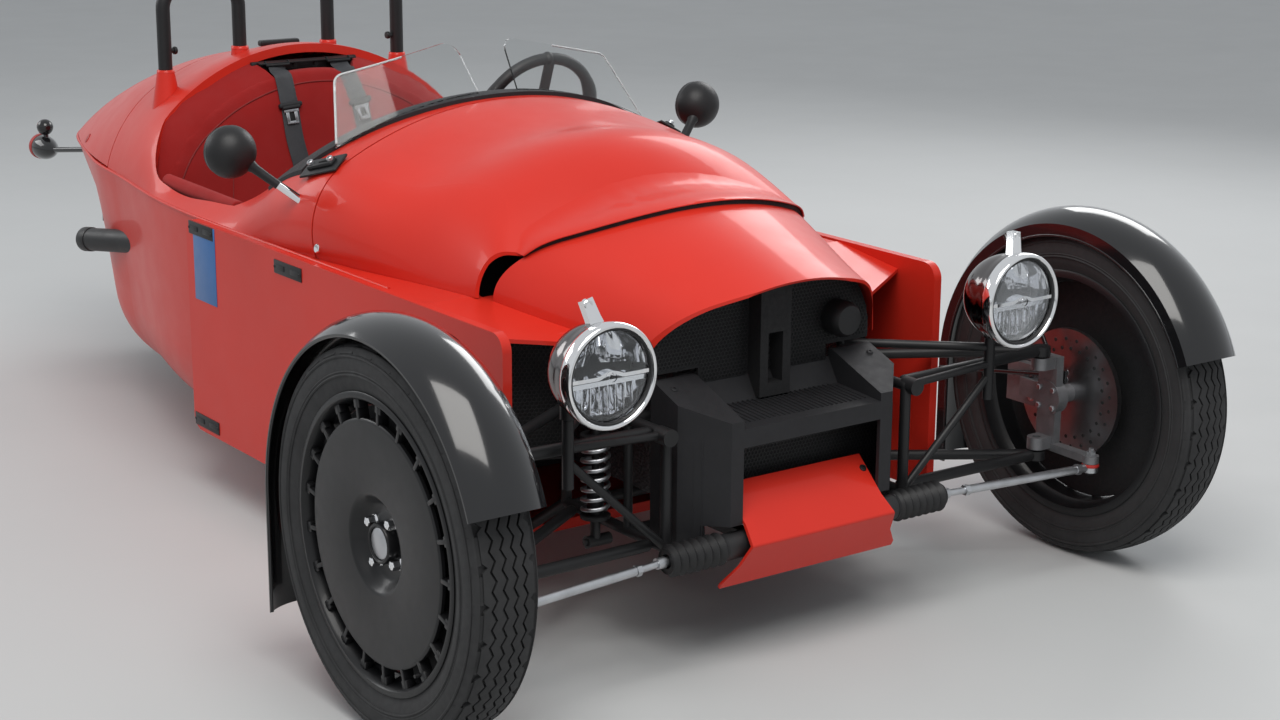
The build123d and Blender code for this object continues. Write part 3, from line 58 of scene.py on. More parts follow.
# Materials
def material(name, colour, rough, metal=0.0, grain=300.0, bump=0.1, depth=0.0004, vary=0.12, patch=7.0,
        coat=0.0, kind="noise", **sockets):
    """Procedural material: patchy colour, uneven roughness and a fine bump of one kind."""
    made = bpy.data.materials.new(name)
    made.use_nodes = True
    nodes, links = made.node_tree.nodes, made.node_tree.links
    shader = nodes["Principled BSDF"]
    place = nodes.new("ShaderNodeTexCoord").outputs["Object"]

    def noise(scale, detail, source=place):
        node = nodes.new("ShaderNodeTexNoise")
        node.inputs["Scale"].default_value = scale
        node.inputs["Detail"].default_value = detail
        links.new(source, node.inputs["Vector"])
        return node.outputs["Fac"]

    patches = noise(patch, 4.0)
    ramp = nodes.new("ShaderNodeValToRGB")
    ramp.color_ramp.elements[0].position = 0.3
    ramp.color_ramp.elements[1].position = 0.7
    ramp.color_ramp.elements[0].color = (*[c * (1 - vary) for c in colour], 1)
    ramp.color_ramp.elements[1].color = (*[min(1, c * (1 + vary)) for c in colour], 1)
    links.new(patches, ramp.inputs["Fac"])
    links.new(ramp.outputs["Color"], shader.inputs["Base Color"])

    spread = nodes.new("ShaderNodeMapRange")
    spread.inputs["To Min"].default_value = max(0.02, rough * 0.8)
    spread.inputs["To Max"].default_value = min(1.0, rough * 1.25)
    links.new(noise(patch * 5, 3.0), spread.inputs["Value"])
    links.new(spread.outputs["Result"], shader.inputs["Roughness"])

    if kind == "cells":
        cells = nodes.new("ShaderNodeTexVoronoi")
        cells.inputs["Scale"].default_value = grain
        links.new(place, cells.inputs["Vector"])
        height = cells.outputs["Distance"]
    elif kind in ("weave", "webbing"):
        waves = []
        for axis in ("X", "Z") if kind == "weave" else ("Z",):
            wave = nodes.new("ShaderNodeTexWave")
            wave.bands_direction = axis
            wave.inputs["Scale"].default_value = grain
            wave.inputs["Distortion"].default_value = 1.5
            links.new(place, wave.inputs["Vector"])
            waves.append(wave.outputs["Fac"])
        height = waves[0]
        if len(waves) > 1:
            both = nodes.new("ShaderNodeMath")
            both.operation = "MULTIPLY"
            links.new(waves[0], both.inputs[0])
            links.new(waves[1], both.inputs[1])
            height = both.outputs["Value"]
    elif kind == "brushed":
        stretch = nodes.new("ShaderNodeMapping")
        stretch.inputs["Scale"].default_value = (1.0, 1.0, 0.04)
        links.new(place, stretch.inputs["Vector"])
        height = noise(grain, 2.0, stretch.outputs["Vector"])
    else:
        height = noise(grain, 3.0)
    relief = nodes.new("ShaderNodeBump")
    relief.inputs["Strength"].default_value = bump
    relief.inputs["Distance"].default_value = depth
    links.new(height, relief.inputs["Height"])
    links.new(relief.outputs["Normal"], shader.inputs["Normal"])
    shader.inputs["Metallic"].default_value = metal
    shader.inputs["Coat Weight"].default_value = coat
    shader.inputs["Coat Roughness"].default_value = 0.07
    for socket, value in sockets.items():
        shader.inputs[socket.replace("_", " ")].default_value = value
    return made


RED = material("red_paint", (0.6, 0.026, 0.014), 0.38, grain=900, bump=0.04, vary=0.05, patch=2.5,
    coat=0.24, Specular_IOR_Level=0.2)
GLOSS_BLACK = material("gloss_black", (0.008, 0.008, 0.009), 0.16, grain=500, bump=0.03, patch=3, coat=0.7,
    Specular_IOR_Level=0.3)
SATIN_BLACK = material("satin_black", (0.013, 0.013, 0.014), 0.42, grain=1600, bump=0.25, patch=9,
    Specular_IOR_Level=0.35)
MOULDED = material("moulded_plastic", (0.015, 0.015, 0.017), 0.58, grain=900, bump=0.45, kind="cells",
    patch=12, Specular_IOR_Level=0.35)
DARK = material("dark_core", (0.006, 0.006, 0.007), 0.75, grain=260, bump=0.6, kind="cells", patch=20)
RUBBER = material("tyre_rubber", (0.02, 0.02, 0.021), 0.72, grain=700, bump=0.4, patch=14, vary=0.22)
BELLOWS = material("bellows_rubber", (0.012, 0.012, 0.013), 0.5, grain=800, bump=0.25, patch=18)
STEEL = material("zinc_steel", (0.52, 0.53, 0.55), 0.34, metal=1.0, grain=900, bump=0.2, kind="brushed",
    patch=25)
CAST = material("cast_metal", (0.24, 0.24, 0.25), 0.55, metal=0.85, grain=520, bump=0.6, patch=30)
ENGINE = material("engine_metal", (0.11, 0.11, 0.115), 0.5, metal=0.8, grain=160, bump=0.8, depth=0.003,
    kind="cells")
CHROME = material("chrome", (0.86, 0.86, 0.87), 0.06, metal=1.0, grain=200, bump=0.02, vary=0.03)
SMOKED_CHROME = material("smoked_chrome", (0.16, 0.15, 0.15), 0.12, metal=1.0, grain=200, bump=0.02,
    vary=0.06)
DISC = material("turned_disc", (0.36, 0.36, 0.37), 0.3, metal=1.0, grain=1200, bump=0.3, kind="brushed",
    patch=30)
CLOTH = material("seat_cloth", (0.3, 0.011, 0.01), 0.88, grain=520, bump=0.35, kind="weave", patch=5,
    vary=0.1, Sheen_Weight=0.06, Sheen_Roughness=0.5, Specular_IOR_Level=0.25)
PIPING = material("seat_piping", (0.2, 0.009, 0.008), 0.7, grain=900, bump=0.3, patch=20)
WEBBING = material("belt_webbing", (0.035, 0.037, 0.042), 0.6, grain=380, bump=0.5, kind="webbing", patch=25)
GRIP = material("grip_leather", (0.016, 0.016, 0.017), 0.5, grain=420, bump=0.5, kind="cells", patch=14)
BLUE = material("blue_strip", (0.02, 0.125, 0.36), 0.4, grain=900, bump=0.08, vary=0.06, coat=0.3)
PLATE = material("blank_plate", (0.78, 0.78, 0.76), 0.35, grain=500, bump=0.1, vary=0.04, coat=0.3)
DIAL = material("dial_face", (0.7, 0.69, 0.64), 0.5, grain=700, bump=0.15, vary=0.05)
RED_LENS = material("red_lens", (0.45, 0.006, 0.006), 0.12, grain=450, bump=0.5, kind="cells", coat=1.0)
AMBER_LENS = material("amber_lens", (0.75, 0.2, 0.01), 0.12, grain=450, bump=0.5, kind="cells", coat=1.0)
BALL_RED = material("joint_ring", (0.42, 0.02, 0.015), 0.5, grain=600, bump=0.2)
SCREEN = material("clear_screen", (0.9, 0.91, 0.91), 0.04, grain=60, bump=0.015, vary=0.01,
    Transmission_Weight=1.0, IOR=1.3)
SCREEN_EDGE = material("screen_edge", (0.72, 0.75, 0.76), 0.25, grain=300, bump=0.05, vary=0.03,
    Transmission_Weight=0.35, IOR=1.45)
WHEEL_BLACK = material("wheel_black", (0.009, 0.009, 0.01), 0.36, grain=1400, bump=0.12, patch=9, coat=0.12,
    Specular_IOR_Level=0.3)
MIRROR_GLASS = material("mirror_glass", (0.82, 0.84, 0.86), 0.03, metal=1.0, grain=100, bump=0.005,
    vary=0.01)
LENS = material("lamp_glass", (0.97, 0.98, 1.0), 0.03, grain=90, bump=0.02, vary=0.01,
    Transmission_Weight=1.0, IOR=1.3)
CARPET = material("floor_carpet", (0.014, 0.014, 0.015), 0.95, grain=900, bump=0.9, depth=0.002, patch=30)

NODE_FINISH = {
    RED: "nose_cowl bonnet body_upper boot_lid body_lower sideblades side_ducts hoop_bases "
        "lower_cover",
    GLOSS_BLACK: "wing_r wing_l tail_lamps",
    SATIN_BLACK: "front_frame wishbones swing_arm wheel_rear plate_bracket steering_column dash "
        "exhaust roll_hoops mirrors",
    WHEEL_BLACK: "wheel_r wheel_l",
    MOULDED: "front_shroud windscreen_strip wheel_tub firewall",
    DARK: "grilles",
    ENGINE: "engine",
    STEEL: "rack dampers",
    CAST: "upright_r upright_l caliper_r caliper_l",
    CHROME: "headlamps",
    DISC: "brake_disc_r brake_disc_l",
    SCREEN: "windscreens",
    RUBBER: "tyre_r tyre_l tyre_rear",
    BELLOWS: "rack_housing",
    CLOTH: "seat_cushion seat_back elbow_pads",
    GRIP: "steering_wheel",
}
for finish, names in NODE_FINISH.items():
    for name in names.split():
        for entry in NODES[name].material_slots:
            entry.material = finish


# Mesh building
class Shape:
    """Gathers the faces of one piece."""

    def __init__(self):
        self.points = []
        self.faces = []

    def grid(self, rows, wrap_rows=False, wrap_columns=False):
        """Quads between rows of points, which may close on themselves either way."""
        base, count = len(self.points), len(rows[0])
        for row in rows:
            self.points.extend(Vector(p) for p in row)
        for i in range(len(rows) if wrap_rows else len(rows) - 1):
            low, high = base + i * count, base + (i + 1) % len(rows) * count
            for k in range(count if wrap_columns else count - 1):
                m = (k + 1) % count
                self.faces.append((low + k, low + m, high + m, high + k))
        return base

    def cap(self, ring):
        """One fan over a closed ring of points."""
        base = len(self.points)
        self.points.extend(Vector(p) for p in ring)
        self.points.append(sum((Vector(p) for p in ring), Vector()) / len(ring))
        for k in range(len(ring)):
            self.faces.append((base + k, base + (k + 1) % len(ring), base + len(ring)))

    def sweep(self, path, section, up=None, closed=False, caps=True):
        """Moves a closed section of (side, up) pairs, or one per point, along a path."""
        path = [Vector(p) for p in path]
        rows, last = [], None
        for i, point in enumerate(path):
            before = path[i - 1] if i or closed else point
            after = path[(i + 1) % len(path)] if i < len(path) - 1 or closed else point
            ahead = (after - before).normalized()
            if last is None:
                last = Vector(up) if up else Vector((0, 0, 1)) if abs(ahead.z) < 0.9 else Vector((0, 1, 0))
            guide = Vector(up) if up else last
            rise = (guide - ahead * guide.dot(ahead)).normalized()
            side = ahead.cross(rise)
            last = rise
            shape = section(i) if callable(section) else section
            rows.append([point + side * a + rise * b for a, b in shape])
        self.grid(rows, wrap_rows=closed, wrap_columns=True)
        if caps and not closed:
            self.cap(rows[0])
            self.cap(rows[-1])

    def tube(self, path, radius, sides=12, **options):
        """Round tube of one radius, or of one radius a point."""
        def ring(i):
            r = radius[i] if isinstance(radius, (list, tuple)) else radius
            return [(r * cos(2 * pi * k / sides), r * sin(2 * pi * k / sides)) for k in range(sides)]
        self.sweep(path, ring, **options)

    def lathe(self, origin, axis, profile, segments=48, closed=False):
        """Turns a profile of (radius, height along the axis) pairs about an axis."""
        origin, axis = Vector(origin), Vector(axis).normalized()
        first = axis.orthogonal().normalized()
        if abs(axis.x) > 0.9:
            first = Vector((0, 1, 0))
        second = axis.cross(first)
        rows = []
        for r, h in profile:
            ring = []
            for k in range(segments):
                turn = 2 * pi * k / segments
                ring.append(origin + axis * h + (first * cos(turn) + second * sin(turn)) * max(r, 1e-6))
            rows.append(ring)
        body = [row for row, (r, _) in zip(rows, profile) if r > 0]
        self.grid(body, wrap_rows=closed, wrap_columns=True)
        if not closed:
            for end, row in ((0, body[0]), (-1, body[-1])):
                base = len(self.points)
                self.points.extend(row)
                self.points.append(origin + axis * profile[end][1])
                for k in range(segments):
                    self.faces.append((base + k, base + (k + 1) % segments, base + segments))

    def box(self, centre, size, bevel=0.0, turn=None, steps=2):
        """Box with rounded edges, turned by a matrix about its centre."""
        made = bmesh.new()
        bmesh.ops.create_cube(made, size=1.0)
        bmesh.ops.scale(made, vec=size, verts=made.verts)
        if bevel:
            edges = made.edges[:]
            bmesh.ops.bevel(made, geom=edges, offset=bevel, segments=steps, affect="EDGES", profile=0.5)
        self.take(made, Matrix.Translation(centre) @ (turn.to_4x4() if turn else Matrix.Identity(4)))

    def take(self, made, placing):
        """Adds a bmesh, moved by a matrix."""
        base = len(self.points)
        made.verts.index_update()
        self.points.extend(placing @ v.co for v in made.verts)
        self.faces.extend(tuple(base + v.index for v in f.verts) for f in made.faces)
        made.free()

    def bolt(self, place, way, radius=0.006, head=0.005):
        """Hexagon bolt head on a washer."""
        way = Vector(way).normalized()
        place = Vector(place)
        self.lathe(place, way, [(0, 0), (radius * 1.7, 0), (radius * 1.7, 0.0012), (0, 0.0012)], 20)
        top = [(0, 0.001), (radius, 0.001), (radius, head * 0.85), (radius * 0.86, head), (0, head)]
        self.lathe(place, way, top, 6)

    def socket_screw(self, place, way, radius=0.007, head=0.004):
        """Round button head with a recessed socket."""
        profile = [(0, 0), (radius, 0), (radius, head * 0.4), (radius * 0.75, head), (radius * 0.42, head),
            (radius * 0.36, head * 0.3), (0, head * 0.25)]
        self.lathe(place, way, profile, 20)

    def make(self, name, finish, slot, angle=35.0, body="chassis"):
        """Turns what was gathered into an object that rides on a body."""
        made = bmesh.new()
        verts = [made.verts.new(p) for p in self.points]
        for face in self.faces:
            try:
                made.faces.new([verts[i] for i in face])
            except ValueError:
                continue
        bmesh.ops.remove_doubles(made, verts=made.verts, dist=1e-6)
        bmesh.ops.dissolve_degenerate(made, edges=made.edges, dist=1e-7)
        bmesh.ops.recalc_face_normals(made, faces=made.faces)
        mesh = bpy.data.meshes.new(name)
        made.to_mesh(mesh)
        made.free()
        return place(bpy.data.objects.new(name, mesh), finish, slot, angle, body)


def place(obj, finish, slot, angle=35.0, body="chassis"):
    """Links an object, smooths it below an angle, and names its finish and body; its slot is not used."""
    if obj.name not in scene.collection.objects:
        scene.collection.objects.link(obj)
    obj.data.materials.clear()
    obj.data.materials.append(finish)
    obj.data.shade_smooth()
    if angle < 180:
        obj.data.set_sharp_from_angle(angle=radians(angle))
    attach(obj, body)
    return obj


def tree_of(*names):
    """Search tree over CAD nodes or pieces."""
    points, faces = [], []
    for name in names:
        mesh = (NODES.get(name) or bpy.data.objects[name]).data
        base = len(points)
        points.extend(v.co for v in mesh.vertices)
        faces.extend([base + i for i in f.vertices] for f in mesh.polygons)
    return BVHTree.FromPolygons(points, faces)


def strike(tree, start, way):
    """Place and outward normal where a line first meets a tree, or None."""
    way = Vector(way).normalized()
    point, normal, _, _ = tree.ray_cast(Vector(start), way)
    if point is None:
        return None
    return point, -normal if normal.dot(way) > 0 else normal


def rounded(points, steps=8):
    """Smooth line through points."""
    points = [Vector(p) for p in points]
    ends = [points[0] * 2 - points[1], *points, points[-1] * 2 - points[-2]]
    line = []
    for i in range(1, len(ends) - 2):
        a, b, c, d = ends[i - 1 : i + 3]
        for k in range(steps):
            t = k / steps
            bend, twist = 2 * a - 5 * b + 4 * c - d, 3 * b - a - 3 * c + d
            line.append(0.5 * (2 * b + (c - a) * t + bend * t**2 + twist * t**3))
    return line + [points[-1]]


def last_inside(low, high, inside, steps=12):
    """Bisects to the last place that is still inside, going from low, which is, to high, which isn't."""
    for _ in range(steps):
        middle = (low + high) / 2
        low, high = (middle, high) if inside(middle) else (low, middle)
    return low


def strip(name, finish, rows, slot="body_paint", angle=60):
    """Closed strip through rings of points, capped at both ends."""
    piece = Shape()
    piece.grid(rows, wrap_columns=True)
    piece.cap(rows[0])
    piece.cap(rows[-1])
    return piece.make(name, finish, slot, angle)


def turned(name, finish, slot, origin, axis, profile, segments=48, angle=35.0, closed=False, body="chassis"):
    """One piece turned about an axis."""
    piece = Shape()
    piece.lathe(origin, axis, profile, segments, closed)
    return piece.make(name, finish, slot, angle, body=body)


# Camera, lights and floor
EYE = Vector((-2.7015, -4.6512, 1.6611))
YAW, PITCH, ROLL = 0.6311, 0.2592, 0.0073
FOCAL_PIXELS, IMAGE_WIDTH, SENSOR = 2250.0, 1280.0, 36.0
look = Vector((sin(YAW) * cos(PITCH), cos(YAW) * cos(PITCH), -sin(PITCH)))
right = look.cross(Vector((0, 0, 1))).normalized()
above = right.cross(look)
camera_x = right * cos(ROLL) + above * sin(ROLL)
camera_y = above * cos(ROLL) - right * sin(ROLL)
camera = bpy.data.objects.new("photo_camera", bpy.data.cameras.new("photo_camera"))
camera.data.sensor_width = SENSOR
camera.data.lens = FOCAL_PIXELS * SENSOR / IMAGE_WIDTH
axes = Matrix((camera_x, camera_y, -look)).transposed()
camera.matrix_world = Matrix.Translation(EYE) @ axes.to_4x4()
scene.collection.objects.link(camera)
scene.camera = camera
scene.view_settings.view_transform = "Standard"

world = bpy.data.worlds.new("studio")
world.use_nodes = True
scene.world = world
nodes, links = world.node_tree.nodes, world.node_tree.links
nodes.clear()


def world_node(kind, *feeds, **settings):
    """Node of the world, its first inputs fed by outputs of others."""
    node = nodes.new(kind)
    for socket, feed in zip(node.inputs, feeds):
        links.new(feed, socket)
    for key, value in settings.items():
        if key in ("Color", "Strength"):
            node.inputs[key].default_value = value
        else:
            setattr(node, key, value)
    return node


rays = world_node("ShaderNodeLightPath").outputs
pale = world_node("ShaderNodeBackground", Color=(0.6, 0.62, 0.64, 1), Strength=1.0)
soft = world_node("ShaderNodeBackground", Color=(0.93, 0.96, 1.0, 1), Strength=0.5)
bounced = world_node("ShaderNodeMath", rays["Is Glossy Ray"], rays["Is Transmission Ray"],
    operation="MAXIMUM")
seen = world_node("ShaderNodeMath", rays["Is Camera Ray"], bounced.outputs["Value"], operation="MAXIMUM")
mixed = world_node("ShaderNodeMixShader", seen.outputs["Value"], soft.outputs["Background"],
    pale.outputs["Background"])
world_node("ShaderNodeOutputWorld", mixed.outputs["Shader"])


def lamp(name, spot, aim, size, power, colour=(1, 1, 1)):
    """Square soft light aimed at a point."""
    light = bpy.data.lights.new(name, "AREA")
    light.shape = "RECTANGLE"
    light.size, light.size_y = size
    light.energy = power
    light.color = colour
    obj = bpy.data.objects.new(name, light)
    obj.location = spot
    obj.rotation_euler = (Vector(aim) - Vector(spot)).to_track_quat("-Z", "Y").to_euler()
    scene.collection.objects.link(obj)


lamp("key_light", (-1.5, -3.0, 5.0), (0, -0.3, 0.4), (3.5, 3.5), 215, (1.0, 0.98, 0.95))
lamp("side_light", (4.5, 1.5, 3.2), (0, 0, 0.5), (3.0, 2.0), 75)
lamp("rear_light", (-3.0, 4.5, 3.0), (0, 0.5, 0.5), (3.0, 2.0), 60)

FLOOR_REACH = 14.0
floor_mesh = bpy.data.meshes.new("studio_floor")
floor_corners = [(a * FLOOR_REACH, b * FLOOR_REACH, 0) for a, b in ((-1, -1), (1, -1), (1, 1), (-1, 1))]
floor_mesh.from_pydata(floor_corners, [], [(0, 1, 2, 3)])
floor = bpy.data.objects.new("studio_floor", floor_mesh)
floor_mesh.materials.append(material("pale_floor", (0.52, 0.53, 0.53), 0.7, grain=120, bump=0.05, vary=0.02,
    patch=0.8))
scene.collection.objects.link(floor)


# Tyres: a smooth carcass, zigzag ribs round the tread and nicked shoulders
def wheel_point(side, centre, u, r, turn):
    """Point of a wheel: u outboard along the axle, r out from it."""
    return Vector((centre[0] + side * u, centre[1] + r * cos(turn), centre[2] + r * sin(turn)))


def tyre(name, side, centre, radius, half, bead, grooves, turns, body, node):
    """Whole tyre in three pieces that replace its CAD node."""
    wall = radius - bead
    tread = half * 0.74
    deep = 0.0065

    def crown(u):
        return radius - 0.0006 - 0.0055 * (u / tread) ** 2

    def at(u, r, turn):
        return wheel_point(side, centre, u, r, turn)

    def ring(u, r):
        return [at(u, r, 2 * pi * k / segments) for k in range(segments)]

    outline = [(-0.8 * half, bead), (-0.84 * half, bead + 0.012), (-0.93 * half, bead + 0.3 * wall),
        (-0.985 * half, bead + 0.55 * wall), (-0.95 * half, bead + 0.78 * wall),
        (-0.86 * half, bead + 0.91 * wall), (-tread * 0.98, crown(tread) - deep), (0, crown(0) - deep)]
    outline += [(-u, r) for u, r in reversed(outline[:-1])]
    line = [(p.x, p.y) for p in rounded([(u, r, 0) for u, r in outline], 5)]
    inner = [(0.76 * half, bead), (0.8 * half, bead + 0.3 * wall), (0, radius - 0.02),
        (-0.8 * half, bead + 0.3 * wall), (-0.76 * half, bead)]
    carcass = Shape()
    segments = 128
    profile = line + inner
    carcass.grid([ring(u, r) for u, r in profile], wrap_rows=True, wrap_columns=True)
    for edge in (-1, 1):
        for spot, lift in ((0.4, 0.0012), (0.46, 0.0008), (0.74, 0.0012)):
            r = bead + spot * wall
            u = edge * half * (0.955 if spot < 0.5 else 0.962)
            carcass.tube(ring(u, r), 0.0016 + lift, 6, closed=True)
    tyre_body = carcass.make(f"{name}_carcass", RUBBER, "tyre_rubber", 50, body=body)
    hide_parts(node)

    swing, gap = 0.0042 * half / 0.065, 0.0045
    shares = (0.0, 0.25, 0.5, 0.75)
    ribs = Shape()
    marks = [None, *grooves, None]
    for k in range(len(marks) - 1):
        rows = []
        for period in range(turns):
            for step, share in enumerate(shares):
                turn = 2 * pi * (period + share) / turns
                zig = swing * (1 - 2 * abs((share * 2) % 2 - 1)) if share in (0, 0.5) else 0.0
                nick = 0.009 if step == 1 and period % 2 else 0.0
                low = marks[k] + gap / 2 + zig if marks[k] is not None else -tread + nick
                high = marks[k + 1] - gap / 2 + zig if marks[k + 1] is not None else tread - nick
                mid = (low + high) / 2
                rows.append([at(low, crown(low) - deep - 0.002, turn), at(low, crown(low) - 0.0007, turn),
                    at(mid, crown(mid), turn), at(high, crown(high) - 0.0007, turn),
                    at(high, crown(high) - deep - 0.002, turn)])
        ribs.grid(rows, wrap_rows=True, wrap_columns=True)
    ribs.make(f"{name}_tread", RUBBER, "tyre_rubber", 30, body=body)

    blocks = Shape()
    for edge in (-1, 1):
        for k in range(turns // 2):
            turn = 2 * pi * (k + 0.2) / (turns // 2)
            low_r, high_r = bead + 0.8 * wall, crown(tread) - 0.004
            low_u, high_u = edge * half * 0.945, edge * tread * 0.99
            width = 2 * pi / turns * 0.72
            rows = []
            for end in (turn - width, turn + width):
                rows.append([at(low_u * 0.97, low_r - 0.003, end), at(low_u + edge * 0.0012, low_r, end),
                    at(edge * half * 0.885, (low_r + high_r) / 2 + 0.0035, end),
                    at(high_u, high_r + 0.001, end), at(high_u * 0.97, high_r - 0.005, end)])
            blocks.grid(rows, wrap_columns=True)
            blocks.cap(rows[0])
            blocks.cap(rows[1])
    blocks.make(f"{name}_shoulder_blocks", RUBBER, "tyre_rubber", 30, body=body)


FRONT_WHEEL = (0.852, aft(0), 0.355)
REAR_WHEEL = (0.0, aft(2.5), 0.317)
for side, name in SIDES:
    hub = (side * FRONT_WHEEL[0], FRONT_WHEEL[1], FRONT_WHEEL[2])
    tyre(f"tyre_{name}", side, hub, 0.355, 0.065, 0.26, (-0.03, -0.01, 0.01, 0.03), 66,
        f"front_wheel_{name}", f"tyre_{name}")
tyre("tyre_rear", 1, REAR_WHEEL, 0.317, 0.0975, 0.19, (-0.052, -0.031, -0.01, 0.01, 0.031, 0.052), 58,
    "rear_wheel", "tyre_rear")

# Front wheels: rim, dished disc with fins, hub cap and nuts
FIN_COUNT = 21
for side, name in SIDES:
    hub = (side * FRONT_WHEEL[0], FRONT_WHEEL[1], FRONT_WHEEL[2])
    body = f"front_wheel_{name}"
    rim = Shape()
    loop = mm((-58, 252.5), (-58, 267), (-56.5, 269), (-54.5, 268.5), (-53.5, 259.7), (-34, 259),
        (-24, 246), (20, 246), (30, 259), (53.5, 259.7), (54.5, 268.5), (56.5, 269), (58, 267), (58, 258),
        (54, 254.5), (30, 250), (22, 240), (-26, 240), (-36, 250))
    rim.lathe(hub, (side, 0, 0), [(r, u) for u, r in loop], 144, closed=True)
    rim_piece = rim.make(f"wheel_rim_{name}", WHEEL_BLACK, "satin_black", 40, body=body)
    face = Shape()
    front = mm((221, 43), (221, 49.5), (218.5, 51.5), (215, 52), (93, 52), (88, 50.8), (85, 48), (79, 40),
        (72, 31), (67, 27), (62, 25.5), (37.5, 25.5))
    back = mm((37.5, 22.5), (60, 22.5), (70, 26), (83, 44), (90, 47), (215, 44))
    face.lathe(hub, (side, 0, 0), front + back, 144, closed=True)
    face.make(f"wheel_disc_{name}", WHEEL_BLACK, "satin_black", 38, body=body)
    fins = Shape()
    for k in range(FIN_COUNT):
        turn = 2 * pi * (k + 0.5) / FIN_COUNT
        out = Vector((0, cos(turn), sin(turn)))
        axes = Matrix((Vector((1, 0, 0)), out, Vector((0, -sin(turn), cos(turn))))).transposed()
        for u, r, size, bevel in ((0.04075, 0.236, (0.0215, 0.04, 0.0084), 0.0012),
                (0.044, 0.247, (0.014, 0.016, 0.019), 0.0015)):
            fins.box(Vector(hub) + Vector((side * u, 0, 0)) + out * r, size, bevel, axes)
    fins.make(f"wheel_fins_{name}", WHEEL_BLACK, "satin_black", 35, body=body)
    turned(f"hub_cap_{name}", WHEEL_BLACK, "satin_black", hub, (side, 0, 0),
        mm((37, 24), (37, 42), (35.5, 45), (32, 46), (30, 44.5), (29.5, 42), (0, 42)), 64, 38, body=body)
    turned(f"hub_plate_{name}", STEEL, "satin_black", hub, (side, 0, 0),
        mm((0, 41.8), (27.8, 41.8), (27.8, 42.8), (26.5, 43.6), (0, 43.8)), 64, 38, body=body)
    nuts = Shape()
    for k in range(4):
        turn = pi * (k / 2 + 0.19)
        spot = Vector(hub) + Vector((side * 0.0255, 0.0505 * cos(turn), 0.0505 * sin(turn)))
        nuts.lathe(spot, (side, 0, 0), mm((0, 0), (12.5, 0), (12.5, 2), (10.5, 4), (0, 4)), 24)
        nuts.lathe(spot, (side, 0, 0), mm((0, 3), (9.8, 3), (9.8, 16), (8.2, 19), (4.8, 20.5), (4.2, 19),
            (0, 18.8)), 6)
    nuts.make(f"wheel_nuts_{name}", CHROME, "bright_metal", 30, body=body)
    valve = Shape()
    spot = wheel_point(side, hub, 0.05, 0.24, -2.2)
    valve.tube([spot, spot + Vector((side * 0.01, 0, 0))], 0.0035, 10)
    valve.make(f"tyre_valve_{name}", BELLOWS, "bellows_rubber", body=body)
    turned(f"wheel_hub_{name}", SATIN_BLACK, "satin_black", hub, (side, 0, 0),
        mm((0, 21.5), (62, 21.5), (62, 23.5), (0, 23.5)), 48, body=body)
    # dark ring inside the wheel: painted shade for the shaded wheel well, hiding the bright floor seen
    # between the fins
    turned(f"wheel_painted_shade_{name}", DARK, "satin_black", hub, (side, 0, 0),
        mm((62, 21.5), (150, 14), (238.5, 14), (238.5, 17), (150, 17), (62, 24.5)), 72, closed=True,
        body=body)
    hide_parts(f"wheel_{name}")

# Wings: rolled lips and stay bolts
for side, name in SIDES:
    body = f"knuckle_{name}"
    lips = Shape()
    for x, radius in ((0.9214, 0.3665), (0.777, 0.345)):
        arc = [(side * x, aft(radius * cos(t)), 0.355 + radius * sin(t))
            for t in np.linspace(radians(158), 0, 60)]
        arc += [(side * x, aft(radius), z) for z in np.linspace(0.345, 0.119, 12)]
        lips.tube(arc, 0.0032, 8)
    lips.make(f"wing_lips_{name}", GLOSS_BLACK, "black_paint", 60, body=body)
    bolts = Shape()
    for z in (0.392, 0.408):
        for y in (-0.017, 0.017):
            bolts.bolt((side * 0.7765, aft(y), z), (side, 0, 0), 0.004, 0.003)
    bolts.make(f"wing_bolts_{name}", STEEL, "bare_steel", 30, body=body)

